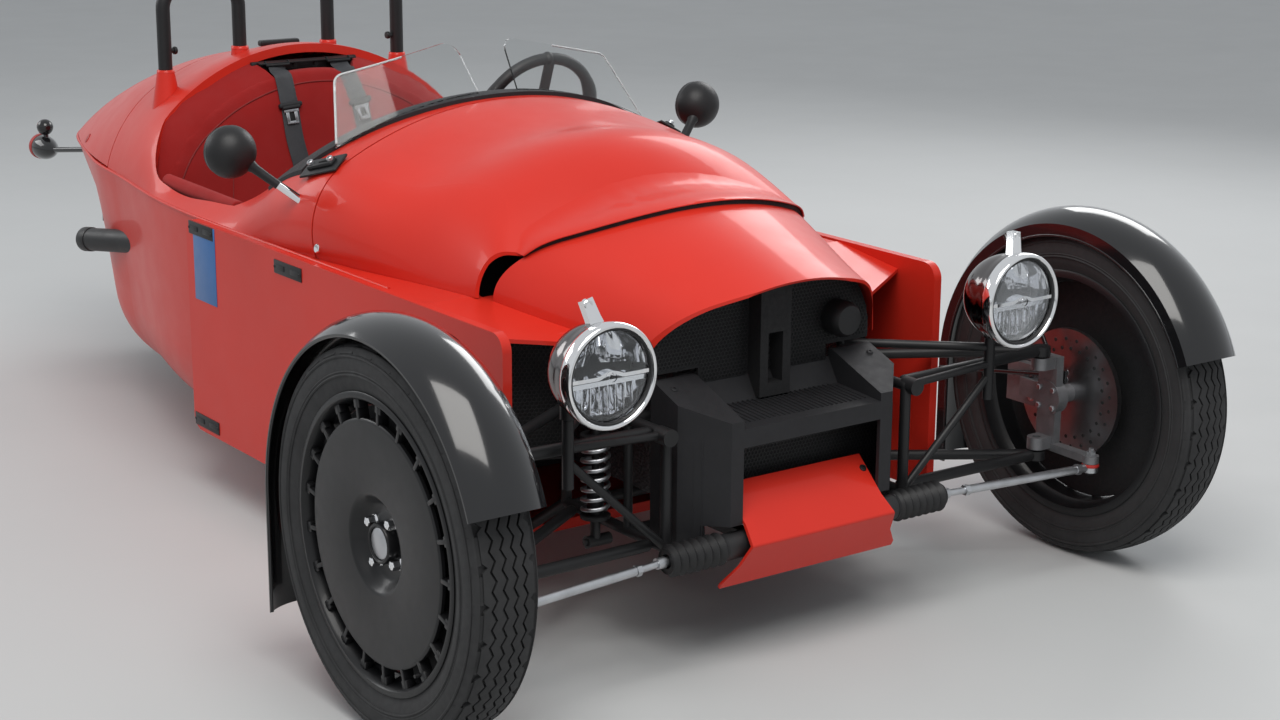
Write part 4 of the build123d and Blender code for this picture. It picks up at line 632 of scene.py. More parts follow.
# Headlamps: bowl, bezel, split reflector with its bar, lens, arm and stem
LAMP = (0.505, aft(-0.15), 0.625)
for side, name in SIDES:
    front = Vector((side * LAMP[0], LAMP[1], LAMP[2]))
    ahead = (0, -1, 0)
    bowl = Shape()
    outline = [(0.0, -0.139)] + [(0.0895 * sin(t), -0.0495 - 0.0895 * cos(t))
        for t in np.linspace(0.12, pi / 2, 22)]
    outline += mm((91.5, -44), (93, -30), (93, -22), (84, -22))
    outline += [(0.083 * sin(t), -0.05 - 0.083 * cos(t))
        for t in np.linspace(pi / 2 - 0.1, 0.12, 12)] + [(0.0, -0.132)]
    bowl.lathe(front, ahead, outline, 72)
    bowl_piece = bowl.make(f"headlamp_bowl_{name}", SMOKED_CHROME, "bright_metal", 40)
    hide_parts("headlamps")
    turned(f"headlamp_bezel_{name}", CHROME, "bright_metal", front, ahead,
        mm((93.5, -30), (96.5, -28), (97.5, -22), (97.8, -12), (96.5, -4), (93.5, -0.8), (90.5, -0.6),
        (88, -3), (86.8, -7), (86.2, -16), (86.2, -30)), 96, 50, closed=True)
    turned(f"headlamp_seal_{name}", BELLOWS, "bright_metal", front, ahead,
        mm((86.8, -10), (86.8, -6.5), (84.5, -5.5), (82.5, -7.5), (82.5, -12)), 96, 50, closed=True)
    glass = Shape()
    dome = [(0.0835 * sin(t) / sin(0.62), -0.0115 + 0.0095 * (cos(t) - cos(0.62)) / (1 - cos(0.62)))
        for t in np.linspace(0.62, 0.0, 12)]
    glass.lathe(front, ahead, dome[:-1] + [(0.0, -0.002)] + [(0.0, -0.0045)]
        + [(r, h - 0.0025) for r, h in dome[-2::-1]], 72)
    glass.make(f"headlamp_glass_{name}", LENS, "bright_metal", 60)
    mirror = Shape()
    for low, high, tilt in ((0.012, 0.079, 1), (-0.079, -0.012, -1)):
        rows, ripple = [], 4 if tilt > 0 else 2
        for k in range(13):
            z = low + (high - low) * k / 12
            reach = sqrt(max(0.0, 0.0815**2 - z * z))
            row = []
            for m in range(25):
                x = reach * (m / 12 - 1)
                depth = 0.05 * (1 - (x * x) / 0.007) - 0.3 * abs(z) - 0.0035 * cos(m * pi / ripple)
                row.append(front + Vector((x, 0.018 + max(0.0, depth), z)))
            rows.append(row)
        mirror.grid(rows)
        mirror.grid([[p + Vector((0, 0.003, 0)) for p in row] for row in rows])
    mirror.make(f"headlamp_reflector_{name}", CHROME, "bright_metal", 50)
    turned(f"headlamp_backing_{name}", DARK, "bright_metal", front + Vector((0, 0.064, 0)), ahead,
        mm((0, 0), (81, 0), (81, 2), (0, 2)), 48)
    bar = Shape()
    arch = []
    for x in np.linspace(-0.0815, 0.0815, 41):
        lift = 0.007 * max(0.0, cos(x / 0.026 * pi / 2)) if abs(x) < 0.026 else 0.0
        arch.append((front.x + x, front.y + 0.0165, front.z + lift))
    bar.sweep(arch, mm((-8, -3.5), (8, -3.5), (8, 3.5), (-8, 3.5)), up=(0, 0, 1))
    bar.sweep([(p[0], p[1] + 0.004, front.z - 0.0115) for p in arch],
        mm((-6, -4.5), (6, -4.5), (6, 4.5), (-6, 4.5)), up=(0, 0, 1))
    for k in range(-3, 4):
        bar.box(front + Vector((k * 0.018, 0.03, -0.042)), (0.0022, 0.022, 0.05), 0.0006)
    bar.make(f"headlamp_bar_{name}", CHROME, "bright_metal", 40)
    arm = Shape()
    foot = Vector((side * 0.511, aft(-0.105), 0.706))
    tip = Vector((side * 0.524, aft(-0.088), 0.756))
    way = (tip - foot).normalized()
    halves = (0.015, 0.0125, 0.011)
    corners = ((-1, -1), (1, -1), (1, 1), (-1, 1))
    arm.sweep([foot, foot + way * 0.02, tip], lambda i: [(a * halves[i], b * 0.0085) for a, b in corners],
        up=(0, -1, 0))
    arm.lathe(tip + Vector((0, 0, -0.008)), (0, -1, 0),
        mm((0, 0), (9.5, 0), (9.5, 11), (8, 12.5), (5.5, 12.5), (5, 9), (0, 8.5)), 24)
    arm.make(f"headlamp_arm_{name}", CHROME, "bright_metal", 30)
    stem = Shape()
    stem.tube([(side * 0.525, aft(-0.036), 0.527), (side * 0.525, aft(-0.036), 0.56)], [0.015, 0.015], 24)
    stem.tube([(side * 0.525, aft(-0.036), 0.56), (side * 0.517, aft(-0.05), 0.6)], [0.0115, 0.01], 20)
    stem.bolt((side * 0.525, aft(-0.051), 0.544), (0, -1, 0), 0.005, 0.004)
    stem.make(f"headlamp_stem_{name}", SATIN_BLACK, "bright_metal", 40)

# Springs and dampers
SPRING_TURNS = 7.5
for side, name in SIDES:
    x, y = side * 0.352, aft(0.125)
    coil = Shape()
    path = []
    for k in range(int(SPRING_TURNS * 24) + 1):
        turn = 2 * pi * k / 24
        rise = (0.418 - 0.272) * k / (SPRING_TURNS * 24)
        path.append((x + 0.0255 * cos(turn), y + 0.0255 * sin(turn), 0.272 + rise))
    coil.tube(path, 0.0042, 10)
    coil.make(f"spring_{name}", STEEL, "bare_steel", 60)
    strut = Shape()
    strut.lathe((x, y, 0), (0, 0, 1), mm((0, 216), (10, 216), (10, 262), (29, 262), (30, 268), (22, 270),
        (16.5, 272), (16.5, 350), (10, 352), (7.5, 352), (7.5, 418), (22, 420), (30, 422), (29, 429),
        (11, 430), (11, 454), (0, 454)), 40)
    for z in (0.215, 0.455):
        strut.tube([(side * 0.319, y, z), (side * 0.372, y, z)], 0.0118, 20)
        strut.bolt((side * 0.372, y, z), (side, 0, 0), 0.0075, 0.006)
    piece = strut.make(f"damper_{name}", SATIN_BLACK, "bare_steel", 40)
    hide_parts("dampers")

# Steering rods: lock nuts, ball joints with a red ring, bellows clamps
for side, name in SIDES:
    rod = Shape()
    start = Vector((side * 0.42, aft(-0.0993), 0.234))
    end = Vector((side * 0.745, aft(-0.13), 0.231))
    way = (end - start).normalized()
    rod.lathe(start - way * 0.012, way, mm((0, 0), (11.5, 0), (11.5, 11), (0, 11)), 6)
    rod.lathe(start + way * 0.285, way, mm((0, 0), (11.5, 0), (11.5, 12), (0, 12)), 6)
    rod.make(f"rod_nuts_{name}", STEEL, "bare_steel", 30, body="steering_rack")
    turned(f"joint_ring_{name}", BALL_RED, "bare_steel", end + Vector((0, 0, 0.0092)), (0, 0, -1),
        mm((17.5, 0), (18.2, 2), (18.2, 6), (17.2, 7.5), (16.5, 4)), 40, 50, closed=True,
        body="steering_rack")
    turned(f"joint_cap_{name}", SATIN_BLACK, "bare_steel", end + Vector((0, 0, -0.0085)), (0, 0, -1),
        mm((0, 0), (13.5, 0), (12.5, 4), (8.5, 6.5), (0, 7)), 32, 40, body="steering_rack")
    clamps = Shape()
    for x, r in ((0.2175, 0.0268), (0.3415, 0.0245)):
        clamps.lathe((side * x, aft(-0.093), 0.235), (side, 0, 0),
            [(r - 0.002, -0.004), (r, -0.004), (r, 0.004), (r - 0.002, 0.004)], 48, closed=True)
    clamps.make(f"bellows_clamps_{name}", SATIN_BLACK, "bellows_rubber", 40)

# Uprights and calipers: bolts and kingpin caps; the drilled rings of the brake discs come further down
for side, name in SIDES:
    body = f"knuckle_{name}"
    bolts = Shape()
    for z in (0.335, 0.375):
        for y in (-0.02, 0.02):
            bolts.bolt((side * 0.7385, aft(y), z), (-side, 0, 0), 0.0065, 0.006)
    for z in (0.33, 0.38):
        bolts.bolt((side * 0.7815, aft(0.085), z), (-side, 0, 0), 0.006, 0.006)
    bolts.lathe((side * 0.745, aft(-0.13), 0.257), (0, 0, 1),
        mm((0, 0), (10.5, 0), (10.5, 9), (6, 9), (6, 16), (0, 16)), 6)
    bolts.make(f"upright_bolts_{name}", STEEL, "bare_steel", 30, body=body)

# Grille meshes: hexagonal wire laid on the CAD panels
grille = tree_of("grilles")
MESH_HALF, MESH_WIRE = 0.0043, 0.00075


def wire_sheet(name, spots):
    """Hexagonal wire mesh at given centres, each with its local axes and outward way."""
    sheet = Shape()
    for centre, across, rise, out in spots:
        ways = [across * cos(pi / 6 + pi * k / 3) + rise * sin(pi / 6 + pi * k / 3) for k in range(6)]
        inner = [centre + way * (MESH_HALF - MESH_WIRE) / cos(pi / 6) for way in ways]
        outer = [centre + way * MESH_HALF / cos(pi / 6) + out * 0.0012 for way in ways]
        sheet.grid([outer, [p + out * 0.0012 for p in inner], inner], wrap_columns=True)
    sheet.make(name, SATIN_BLACK, "mesh_steel", 30)


def mesh_spots(x_range, z_range, start_y, keep):
    """Centres of hexagons whose six corners all land on the part of the grille to keep."""
    spots, row, z = [], 0, z_range[0]
    while z < z_range[1]:
        x = x_range[0] + (MESH_HALF if row % 2 else 0.0)
        while x < x_range[1]:
            origin = Vector((x, start_y, z))
            found = strike(grille, origin, (0, 1, 0))
            if found and keep(found[0].y):
                corners = 0
                for k in range(6):
                    turn = pi / 6 + pi * k / 3
                    probe = origin + Vector((MESH_HALF * 1.1 * cos(turn), 0, MESH_HALF * 1.1 * sin(turn)))
                    edge = strike(grille, probe, (0, 1, 0))
                    if edge and abs((edge[0] - found[0]).dot(found[1])) < 0.003:
                        corners += 1
                if corners == 6:
                    normal = found[1]
                    side_way = Vector((0, 0, 1)).cross(normal).normalized()
                    spots.append((found[0] + normal * 0.0022, side_way, normal.cross(side_way), normal))
            x += 2 * MESH_HALF
        z += MESH_HALF * sqrt(3)
        row += 1
    return spots


wire_sheet("upper_mesh", mesh_spots((-0.3, 0.3), (0.43, 0.75), aft(-0.6), lambda y: y > aft(0.045)))
wire_sheet("lower_mesh", mesh_spots((-0.27, 0.27), (0.2, 0.46), aft(-0.6), lambda y: y < aft(0.02)))
for side, name in SIDES:
    found = mesh_spots(sorted((side * 0.33, side * 0.53)), (0.3, 0.62), aft(-0.4), lambda y: y > aft(0.2))
    if found:
        wire_sheet(f"side_mesh_{name}", found)

turned("horn", SATIN_BLACK, "mesh_steel", (0.18, aft(0.058), 0.6), (0, -1, 0),
    mm((0, 0), (36, 0), (37, 28), (35, 40), (29, 48), (12, 51), (0, 51)), 48, 40)

# Bonnet leading edge over the nose's crest: a panel that overhangs it, and a dark sheet of painted shade
# under the panel for the shadow in the gap
bonnet_top, nose_top = tree_of("bonnet"), tree_of("nose_cowl")
panel_rows, shade_rows = [], []
for x in np.linspace(-0.351, 0.351, 77):
    near, far = aft(0.1), aft(0.45)
    for y in np.arange(aft(0.2), aft(0.4), 0.004):
        if strike(nose_top, (x, y, 1.2), (0, 0, -1)):
            near, far = y, y + 0.004
    near = last_inside(near, far, lambda y: strike(nose_top, (x, y, 1.2), (0, 0, -1)), 8)
    crest, slope = strike(nose_top, (x, near - 0.001, 1.2), (0, 0, -1))
    up = Vector((slope.x, 0, slope.z)).normalized()
    edge_share = max(0.0, (abs(x) - 0.315) / 0.036)
    gap = 0.0095 - 0.005 * edge_share**2

    def bonnet_height(run):
        found = strike(bonnet_top, crest + Vector((0, run, 0)) + up * 0.12, -up)
        return (found[0] - crest).dot(up) if found else -0.1

    reach = 0.016
    while reach < 0.22 and bonnet_height(reach) < gap + 0.0035 + 0.15 * reach:
        reach += 0.002
    end = bonnet_height(reach) - 0.0006
    rise = (bonnet_height(reach + 0.004) - bonnet_height(reach - 0.002)) / 0.006
    start_slope = min(0.28, 1.5 * (end - gap) / reach)
    section = [Vector((0, -0.0035, 0)) + up * gap, Vector((0, -0.006, 0)) + up * (gap + 0.001),
        Vector((0, -0.0055, 0)) + up * (gap + 0.0028)]
    for s in np.linspace(0.03, 1, 12):
        height = ((2 * s**3 - 3 * s**2 + 1) * (gap + 0.0036) + (s**3 - 2 * s**2 + s) * reach * start_slope
            + (3 * s**2 - 2 * s**3) * end + (s**3 - s**2) * reach * rise * 0.8)
        section.append(Vector((0, -0.003 + (reach + 0.003) * s, 0))
            + up * max(height, bonnet_height(reach * s) + 0.0008 * (1 - s)))
    under = [p - up * 0.003 for p in reversed(section[3:])]
    panel_rows.append([crest + p for p in section + under])
    shade_rows.append([crest + Vector((0, run, 0)) + up * h
        for run, h in ((0.0005, -0.004), (0.0005, gap + 0.0006), (0.012, gap + 0.0006), (0.012, -0.004))])
strip("bonnet_leading_edge", RED, panel_rows)
# the dark strip under the panel's overhang is painted shade for the shadow in the gap between bonnet and
# nose
strip("bonnet_leading_painted_shade", DARK, shade_rows)

# Bonnet front edge: a red lip that lifts toward the sides over a dark band of painted shade for the shadowed
# gap
bonnet = tree_of("bonnet")
EDGE_SPAN, EDGE_SAG, EDGE_CROWN = 0.4, 0.17, 0.25
edge_radius = (EDGE_SPAN**2 + EDGE_SAG**2) / (2 * EDGE_SAG)
lip_rows, painted_shade_band_rows, spots = [], [], []
for t in np.linspace(-1.46, 1.46, 121):
    out = Vector((sin(t), 0, cos(t)))
    x = 0.3 * sin(t)
    for _ in range(4):
        y = aft(EDGE_CROWN) + edge_radius - sqrt(edge_radius**2 - min(x * x, 0.17))
        found = strike(bonnet, Vector((0, y + 0.003, 0.6)) + out, -out)
        if not found:
            break
        x = found[0].x
    if found and found[0].z > 0.652:
        spots.append(found)
nose = tree_of("nose_cowl", "bonnet")
for i, (spot, normal) in enumerate(spots):
    ahead = spots[min(i + 1, len(spots) - 1)][0] - spots[max(i - 1, 0)][0]
    front = normal.cross(ahead).normalized()
    front = -front if front.y > 0 else front
    share = min(1.0, abs(spot.x) / 0.37)
    lift = 0.9 + 0.6 * share**2
    lip_section = [(-0.036, 0.0003), (-0.022, 0.0014), (-0.01, 0.0042 * lift), (0.001, 0.0072 * lift),
        (0.0035, 0.0076 * lift), (0.0045, 0.0068 * lift), (0.004, 0.0056 * lift), (0.000, 0.0052 * lift),
        (-0.01, 0.0024 * lift), (-0.036, -0.002)]
    lip_rows.append([spot + front * a + normal * b for a, b in lip_section])
    # dark band on the nose beneath the lip: painted shade for the shadowed gap, wider toward the sides
    wide = 0.0075 + 0.0165 * share**2
    band = []
    for a in np.linspace(0.002, wide, 6):
        found = strike(nose, spot + front * a + normal * 0.05, -normal)
        band.append(found[0] if found and (found[0] - spot - front * a).length < 0.02 else spot + front * a)
    top = [p + normal * (0.0014 - 0.001 * k / 5) for k, p in enumerate(band)]
    bottom = [p - normal * 0.0015 for p in reversed(band)]
    painted_shade_band_rows.append([spot - front * 0.006 + normal * 0.005, *top, *bottom,
        spot - front * 0.006 - normal * 0.003])
strip("bonnet_lip", RED, lip_rows, angle=40)
strip("bonnet_gap_painted_shade", DARK, painted_shade_band_rows, angle=40)

# Flange along the belt from the nose to the tail tip
hull = tree_of("body_upper", "boot_lid", "body_lower", "bonnet", "nose_cowl")
for side, name in SIDES:
    belt_path = []
    for y in np.linspace(aft(0.6), aft(2.9), 70):
        found = strike(hull, (side * 1.2, y, 0.64), (-side, 0, 0))
        if found:
            belt_path.append(Vector((found[0].x, y, 0.643)))
    belt = Shape()
    belt.tube(belt_path, 0.0042, 8)
    belt.make(f"belt_flange_{name}", RED, "body_paint", 60)

# Side panel brackets, the blue strip, bonnet locks
for side, name in SIDES:
    brackets = Shape()
    for y, z in ((-0.013, 0.628), (-0.436, 0.613), (-0.005, 0.17)):
        brackets.box((side * 0.5507, y, z), (0.003, 0.124, 0.03), 0.0012)
        for end in (-1, 1):
            brackets.box((side * 0.552, y + end * 0.034, z), (0.003, 0.04, 0.012), 0.0008)
            brackets.socket_screw((side * 0.552, y + end * 0.056, z), (side, 0, 0), 0.0045, 0.002)
    brackets.make(f"panel_brackets_{name}", SATIN_BLACK, "moulded_plastic", 30)
    turned(f"bonnet_lock_{name}", CHROME, "bright_metal", (side * 0.5125, -0.5, 0.668), (side, -0.05, 0.2),
        mm((0, -4), (10.5, -4), (10.5, 2), (8.5, 3.5), (5.5, 3), (0, 3)), 32, 40)
patch = Shape()
patch.box((-0.5504, -0.027, 0.5525), (0.0012, 0.112, 0.18), 0.0004)
patch.make("blue_strip", BLUE, "body_paint", 30)

# Lower cover and shroud: screws and shelf ribs; the cheek flutes come further down
screws = Shape()
cover = tree_of("lower_cover")
for side in (-1, 1):
    found = strike(cover, (side * 0.16, aft(-0.4), 0.318), (0, 1, 0))
    if found:
        screws.socket_screw(found[0], found[1], 0.0075, 0.004)
screws.make("cover_screws", SATIN_BLACK, "bare_steel", 30)
shroud = tree_of("front_shroud")
ribs = Shape()
for k in range(27):
    x = -0.156 + 0.312 * k / 26
    path = []
    for y in np.linspace(aft(-0.07), aft(0.03), 9):
        found = strike(shroud, (x, y, 1.0), (0, 0, -1))
        if found and found[1].z > 0.6 and found[0].z < 0.55:
            path.append(found[0] + Vector((0, 0, 0.0006)))
    if len(path) > 3:
        ribs.sweep(path, mm((-2.2, -2), (2.2, -2), (1.2, 1.8), (-1.2, 1.8)), up=(0, 0, 1))
ribs.make("shelf_ribs", MOULDED, "moulded_plastic", 30)

# Mirrors: black heads, glass facing aft, chrome stalks
for side, name in SIDES:
    head = Vector((side * 0.622, aft(1.082), 0.86))
    foot = Vector((side * 0.488, aft(1.005), 0.742))
    turned(f"mirror_glass_{name}", MIRROR_GLASS, "bright_metal", head + Vector((0, 0.0215, 0)), (0, 1, 0),
        mm((0, 0), (52, 0), (52, 1.4), (0, 1.8)), 48, 40)
    turned(f"mirror_rim_{name}", SATIN_BLACK, "black_paint", head + Vector((0, 0.02, 0)), (0, 1, 0),
        mm((51.5, 0), (54.5, 0), (54.5, 3), (51.5, 3.8)), 48, 40, closed=True)
    way = (foot - head).normalized()
    low = foot - way * 0.004
    sleeve = Shape()
    sleeve.tube([low, low - way * 0.075], 0.0078, 20)
    sleeve.make(f"mirror_sleeve_{name}", CHROME, "bright_metal", 40)
    collar = Shape()
    collar.tube([low + way * 0.004, low - way * 0.01], 0.011, 24)
    collar.tube([low - way * 0.072, low - way * 0.11, low - way * 0.132, low - way * 0.146],
        [0.0094, 0.01, 0.0108, 0.015], 24)
    collar.make(f"mirror_collar_{name}", SATIN_BLACK, "black_paint", 40)


# Soft trim: covers blown up over slightly smaller copies of the CAD solids
SIM_FRAMES = 20


def cushion(name, node, voxel, near, far, cap, fill, shrinks=(1.4, 1.4, 1.4)):
    """Padded cover from the part of a CAD solid whose x lies between near and far."""
    source = bmesh.new()
    source.from_mesh(NODES[node].data)
    bmesh.ops.delete(source, geom=[v for v in source.verts if not near <= v.co.x <= far], context="VERTS")
    for i in range(3):
        low, high = min(v.co[i] for v in source.verts), max(v.co[i] for v in source.verts)
        keep = 1 - min(0.25, shrinks[i] * cap / (high - low))
        for v in source.verts:
            v.co[i] = (low + high) / 2 + (v.co[i] - (low + high) / 2) * keep
    mesh = bpy.data.meshes.new(name)
    source.to_mesh(mesh)
    source.free()
    obj = bpy.data.objects.new(name, mesh)
    scene.collection.objects.link(obj)

    def apply():
        bpy.context.view_layer.update()
        result = bpy.data.meshes.new_from_object(obj.evaluated_get(bpy.context.evaluated_depsgraph_get()))
        obj.modifiers.clear()
        obj.data = result

    remesh = obj.modifiers.new("remesh", "REMESH")
    remesh.mode = "VOXEL"
    remesh.voxel_size = voxel
    apply()
    start = [v.co.copy() for v in obj.data.vertices]
    cloth = obj.modifiers.new("cloth", "CLOTH")
    cloth.settings.quality = 4
    cloth.settings.mass = 0.3
    cloth.settings.tension_stiffness = 8
    cloth.settings.compression_stiffness = 8
    cloth.settings.bending_stiffness = 0.8
    cloth.settings.use_pressure = True
    cloth.settings.uniform_pressure_force = 4.0
    cloth.settings.effector_weights.gravity = 0.0
    cloth.point_cache.frame_start, cloth.point_cache.frame_end = 1, SIM_FRAMES
    for step in range(1, SIM_FRAMES + 1):
        scene.frame_set(step)
    apply()
    scene.frame_set(1)
    for vertex, origin in zip(obj.data.vertices, start):
        shift = vertex.co - origin
        if shift.length > cap:
            vertex.co = origin + shift * (cap / shift.length)
    smooth = obj.modifiers.new("smooth", "SMOOTH")
    smooth.iterations = 4
    fine = obj.modifiers.new("fine", "SUBSURF")
    fine.levels = fine.render_levels = 1
    apply()
    place(obj, CLOTH, "seat_trim", 180)
    return obj


def seam(name, tree, spots, way, radius=0.0022, lift=0.0006):
    """Piping laid on a cover where lines from the given spots first meet it."""
    path = []
    for spot in spots:
        found = strike(tree, spot, way)
        if found:
            path.append(found[0] + found[1] * lift)
    piece = Shape()
    piece.tube(path, radius, 8)
    return piece.make(name, PIPING, "seat_trim", 60)


back = cushion("seat_back_cover", "seat_back", 0.01, -1, 1, 0.01, 0.7, (0.5, 1.4, 0.4))
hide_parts("seat_back")
back_tree = tree_of("seat_back_cover")
outline_spots = []
for x in np.linspace(-0.425, 0.425, 60):
    top_z = last_inside(0.6, 0.93, lambda z: strike(back_tree, (x, -0.2, z), (0, 1, 0)))
    outline_spots.append((x * 0.955, -0.2, top_z - 0.03))
seam("seat_back_piping", back_tree, outline_spots, (0, 1, 0))
inner_wall = tree_of("body_upper")
BACK_CENTRE = Vector((0, -0.3, 0.6))


def evened(points, reach, average):
    """Each point replaced by the average of the points up to some steps away."""
    around = [points[max(0, i - reach):i + reach + 1] for i in range(len(points))]
    return [Vector(average([list(p) for p in spots], axis=0)) for spots in around]


for side, name in SIDES:
    near_edges, far_edges, ways = [], [], []
    for t in np.linspace(radians(20), radians(96), 40):
        way = Vector((side * sin(t), 0, cos(t)))
        reach = last_inside(0.05, 0.6, lambda r: strike(back_tree, BACK_CENTRE + way * r, (0, 1, 0)))
        near_edge = strike(back_tree, BACK_CENTRE + way * (reach - 0.022), (0, 1, 0))[0]
        far_hit = None
        for back_y in np.linspace(near_edge.y + 0.055, near_edge.y + 0.15, 20):
            far_hit = strike(inner_wall, (0, back_y, 0.6), way)
            if far_hit:
                break
        if not far_hit:
            continue
        near_edges.append(near_edge)
        far_edges.append(far_hit[0] + Vector((0, 0.004, 0)) + way * 0.004)
        ways.append(way)
    far_edges = evened(evened(far_edges, 3, np.median), 2, np.mean)
    rows = []
    for near_edge, far_edge, way in zip(near_edges, far_edges, ways):
        run = far_edge - near_edge
        rise = run.cross(Vector((way.z, 0, -way.x)) * side).normalized()
        rise = -rise if rise.dot(Vector((way.x, -0.6, way.z))) > 0 else rise
        top = [near_edge + run * s - rise * (0.012 * sin(pi * s)) for s in (0, 0.1, 0.25, 0.5, 0.75, 0.9, 1)]
        bottom = [p + rise * 0.01 for p in reversed(top)]
        rows.append(top + bottom)
    strip(f"seat_back_border_{name}", CLOTH, rows, "seat_trim")
for side, name in SIDES:
    seam(f"seat_back_seam_{name}", back_tree,
        [(side * (0.3 - 0.05 * t), -0.2, 0.33 + 0.4 * t) for t in np.linspace(0, 1, 30)], (0, 1, 0), 0.0016,
        -0.0002)

for side, name in SIDES:
    pair = sorted((side * 0.02, side * 0.6))
    seat = cushion(f"seat_cushion_{name}", "seat_cushion", 0.008, *pair, 0.01, 0.75)
    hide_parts("seat_cushion")
    seat_tree = tree_of(seat.name)
    inner, outer, front_y, rear_y = 0.058, 0.425, aft(1.425), aft(1.735)
    ring = [(inner, front_y), (outer, front_y), (outer, rear_y), (inner, rear_y), (inner, front_y)]
    spots = []
    for (xa, ya), (xb, yb) in zip(ring, ring[1:]):
        spots += [(side * (xa + (xb - xa) * t), ya + (yb - ya) * t, 0.6) for t in np.linspace(0, 1, 16)[:-1]]
    seam(f"seat_cushion_piping_{name}", seat_tree, spots + spots[:1], (0, 0, -1))
    for k, y in enumerate((aft(1.5), aft(1.58), aft(1.66))):
        seam(f"seat_cushion_channel_{name}{k + 1}", seat_tree,
            [(side * x, y, 0.6) for x in np.linspace(inner, outer, 24)], (0, 0, -1), 0.0014, -0.0002)
    pad = cushion(f"elbow_pad_{name}", "elbow_pads", 0.0045, *pair, 0.006, 0.65)
    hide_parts("elbow_pads")
    seam(f"elbow_pad_seam_{name}", tree_of(pad.name),
        [(side * 0.2, y, 0.672) for y in np.linspace(-0.005, 0.355, 36)], (side, 0, 0), 0.0014, -0.0002)

# Seat belts: webbing from the bracket down the seat back, each with its stop and tongue
BELTS = {
    "r": [(-0.086, 0.496, 0.916), (-0.089, 0.488, 0.906), (-0.087, None, 0.84), (-0.085, None, 0.822),
        (-0.081, None, 0.745), (-0.07, None, 0.68), (-0.06, None, 0.62), (-0.05, None, 0.5),
        (-0.046, None, 0.4), (-0.045, 0.372, 0.335)],
    "l": [(0.088, 0.496, 0.916), (0.09, 0.488, 0.906), (0.106, None, 0.84), (0.115, None, 0.817),
        (0.122, None, 0.753), (0.131, None, 0.68), (0.14, None, 0.6), (0.147, None, 0.5),
        (0.15, None, 0.42), (0.15, 0.372, 0.335)],
}
for name, spots in BELTS.items():
    line = []
    for x, y, z in spots:
        if y is None:
            found = strike(back_tree, (x, -0.2, z), (0, 1, 0))
            y = found[0].y - 0.0035
        line.append((x, y, z))
        if z == spots[1][2]:
            face = strike(back_tree, (x, -0.2, 0.845), (0, 1, 0))[0]
            for angle in range(75, 4, -10):
                out = Vector((0, -cos(radians(angle)), sin(radians(angle))))
                core = Vector((x + (spots[2][0] - x) * (80 - angle) / 75, face.y + 0.035, 0.845))
                line.append(tuple(strike(back_tree, core + out * 0.25, -out)[0] + out * 0.0035))
    strap = Shape()
    strap.sweep(rounded(line, 6), mm((-24, -0.6), (-23.2, -1.2), (23.2, -1.2), (24, -0.6), (24, 0.6),
        (23.2, 1.2), (-23.2, 1.2), (-24, 0.6)), up=(0, -1, 0.1))
    strap.make(f"belt_webbing_{name}", WEBBING, "moulded_plastic", 40)
    x, y, z = line[-7]
    lean = (Vector(line[-6]) - Vector(line[-8])).normalized()
    side_way = lean.cross(Vector((0, -1, 0))).normalized()
    out = side_way.cross(lean).normalized()
    out = -out if out.y > 0 else out
    turn = Matrix((side_way, out, lean)).transposed()
    spot = Vector((x, y, z))
    stop = Shape()
    stop.box(spot + out * 0.004, (0.064, 0.013, 0.013), 0.005, turn, 4)
    stop.box(spot + out * 0.006 + lean * 0.006, (0.05, 0.012, 0.01), 0.004, turn, 4)
    stop.make(f"belt_stop_{name}", MOULDED, "moulded_plastic", 40)
    tongue = Shape()
    for a, c, wide, tall in ((0, 0.0145, 0.04, 0.009), (-0.0115, 0.03, 0.009, 0.03),
            (0.0115, 0.03, 0.009, 0.03), (0, 0.0445, 0.032, 0.008)):
        tongue.box(spot + side_way * a + out * 0.004 + lean * c, (wide, 0.0026, tall), 0.0008, turn)
    tongue.make(f"belt_tongue_{name}", STEEL, "bare_steel", 30)
    slot_back = Shape()
    slot_back.box(spot + out * 0.0022 + lean * 0.03, (0.014, 0.0016, 0.02), 0.0004, turn)
    slot_back.make(f"belt_slot_{name}", DARK, "moulded_plastic", 30)
anchor = Shape()
anchor.box((0.0, 0.515, 0.912), (0.3, 0.012, 0.026), 0.003)
anchor.box((0.0, 0.503, 0.921), (0.27, 0.022, 0.005), 0.002)
for x in (-0.086, 0.088):
    anchor.tube([(x - 0.032, 0.498, 0.926), (x - 0.032, 0.49, 0.917), (x + 0.032, 0.49, 0.917),
        (x + 0.032, 0.498, 0.926)], 0.0035, 10)
for x in (-0.135, -0.03, 0.03, 0.135):
    anchor.bolt((x, 0.509, 0.912), (0, -1, 0), 0.006, 0.005)
anchor.make("belt_bracket", SATIN_BLACK, "satin_black", 30)

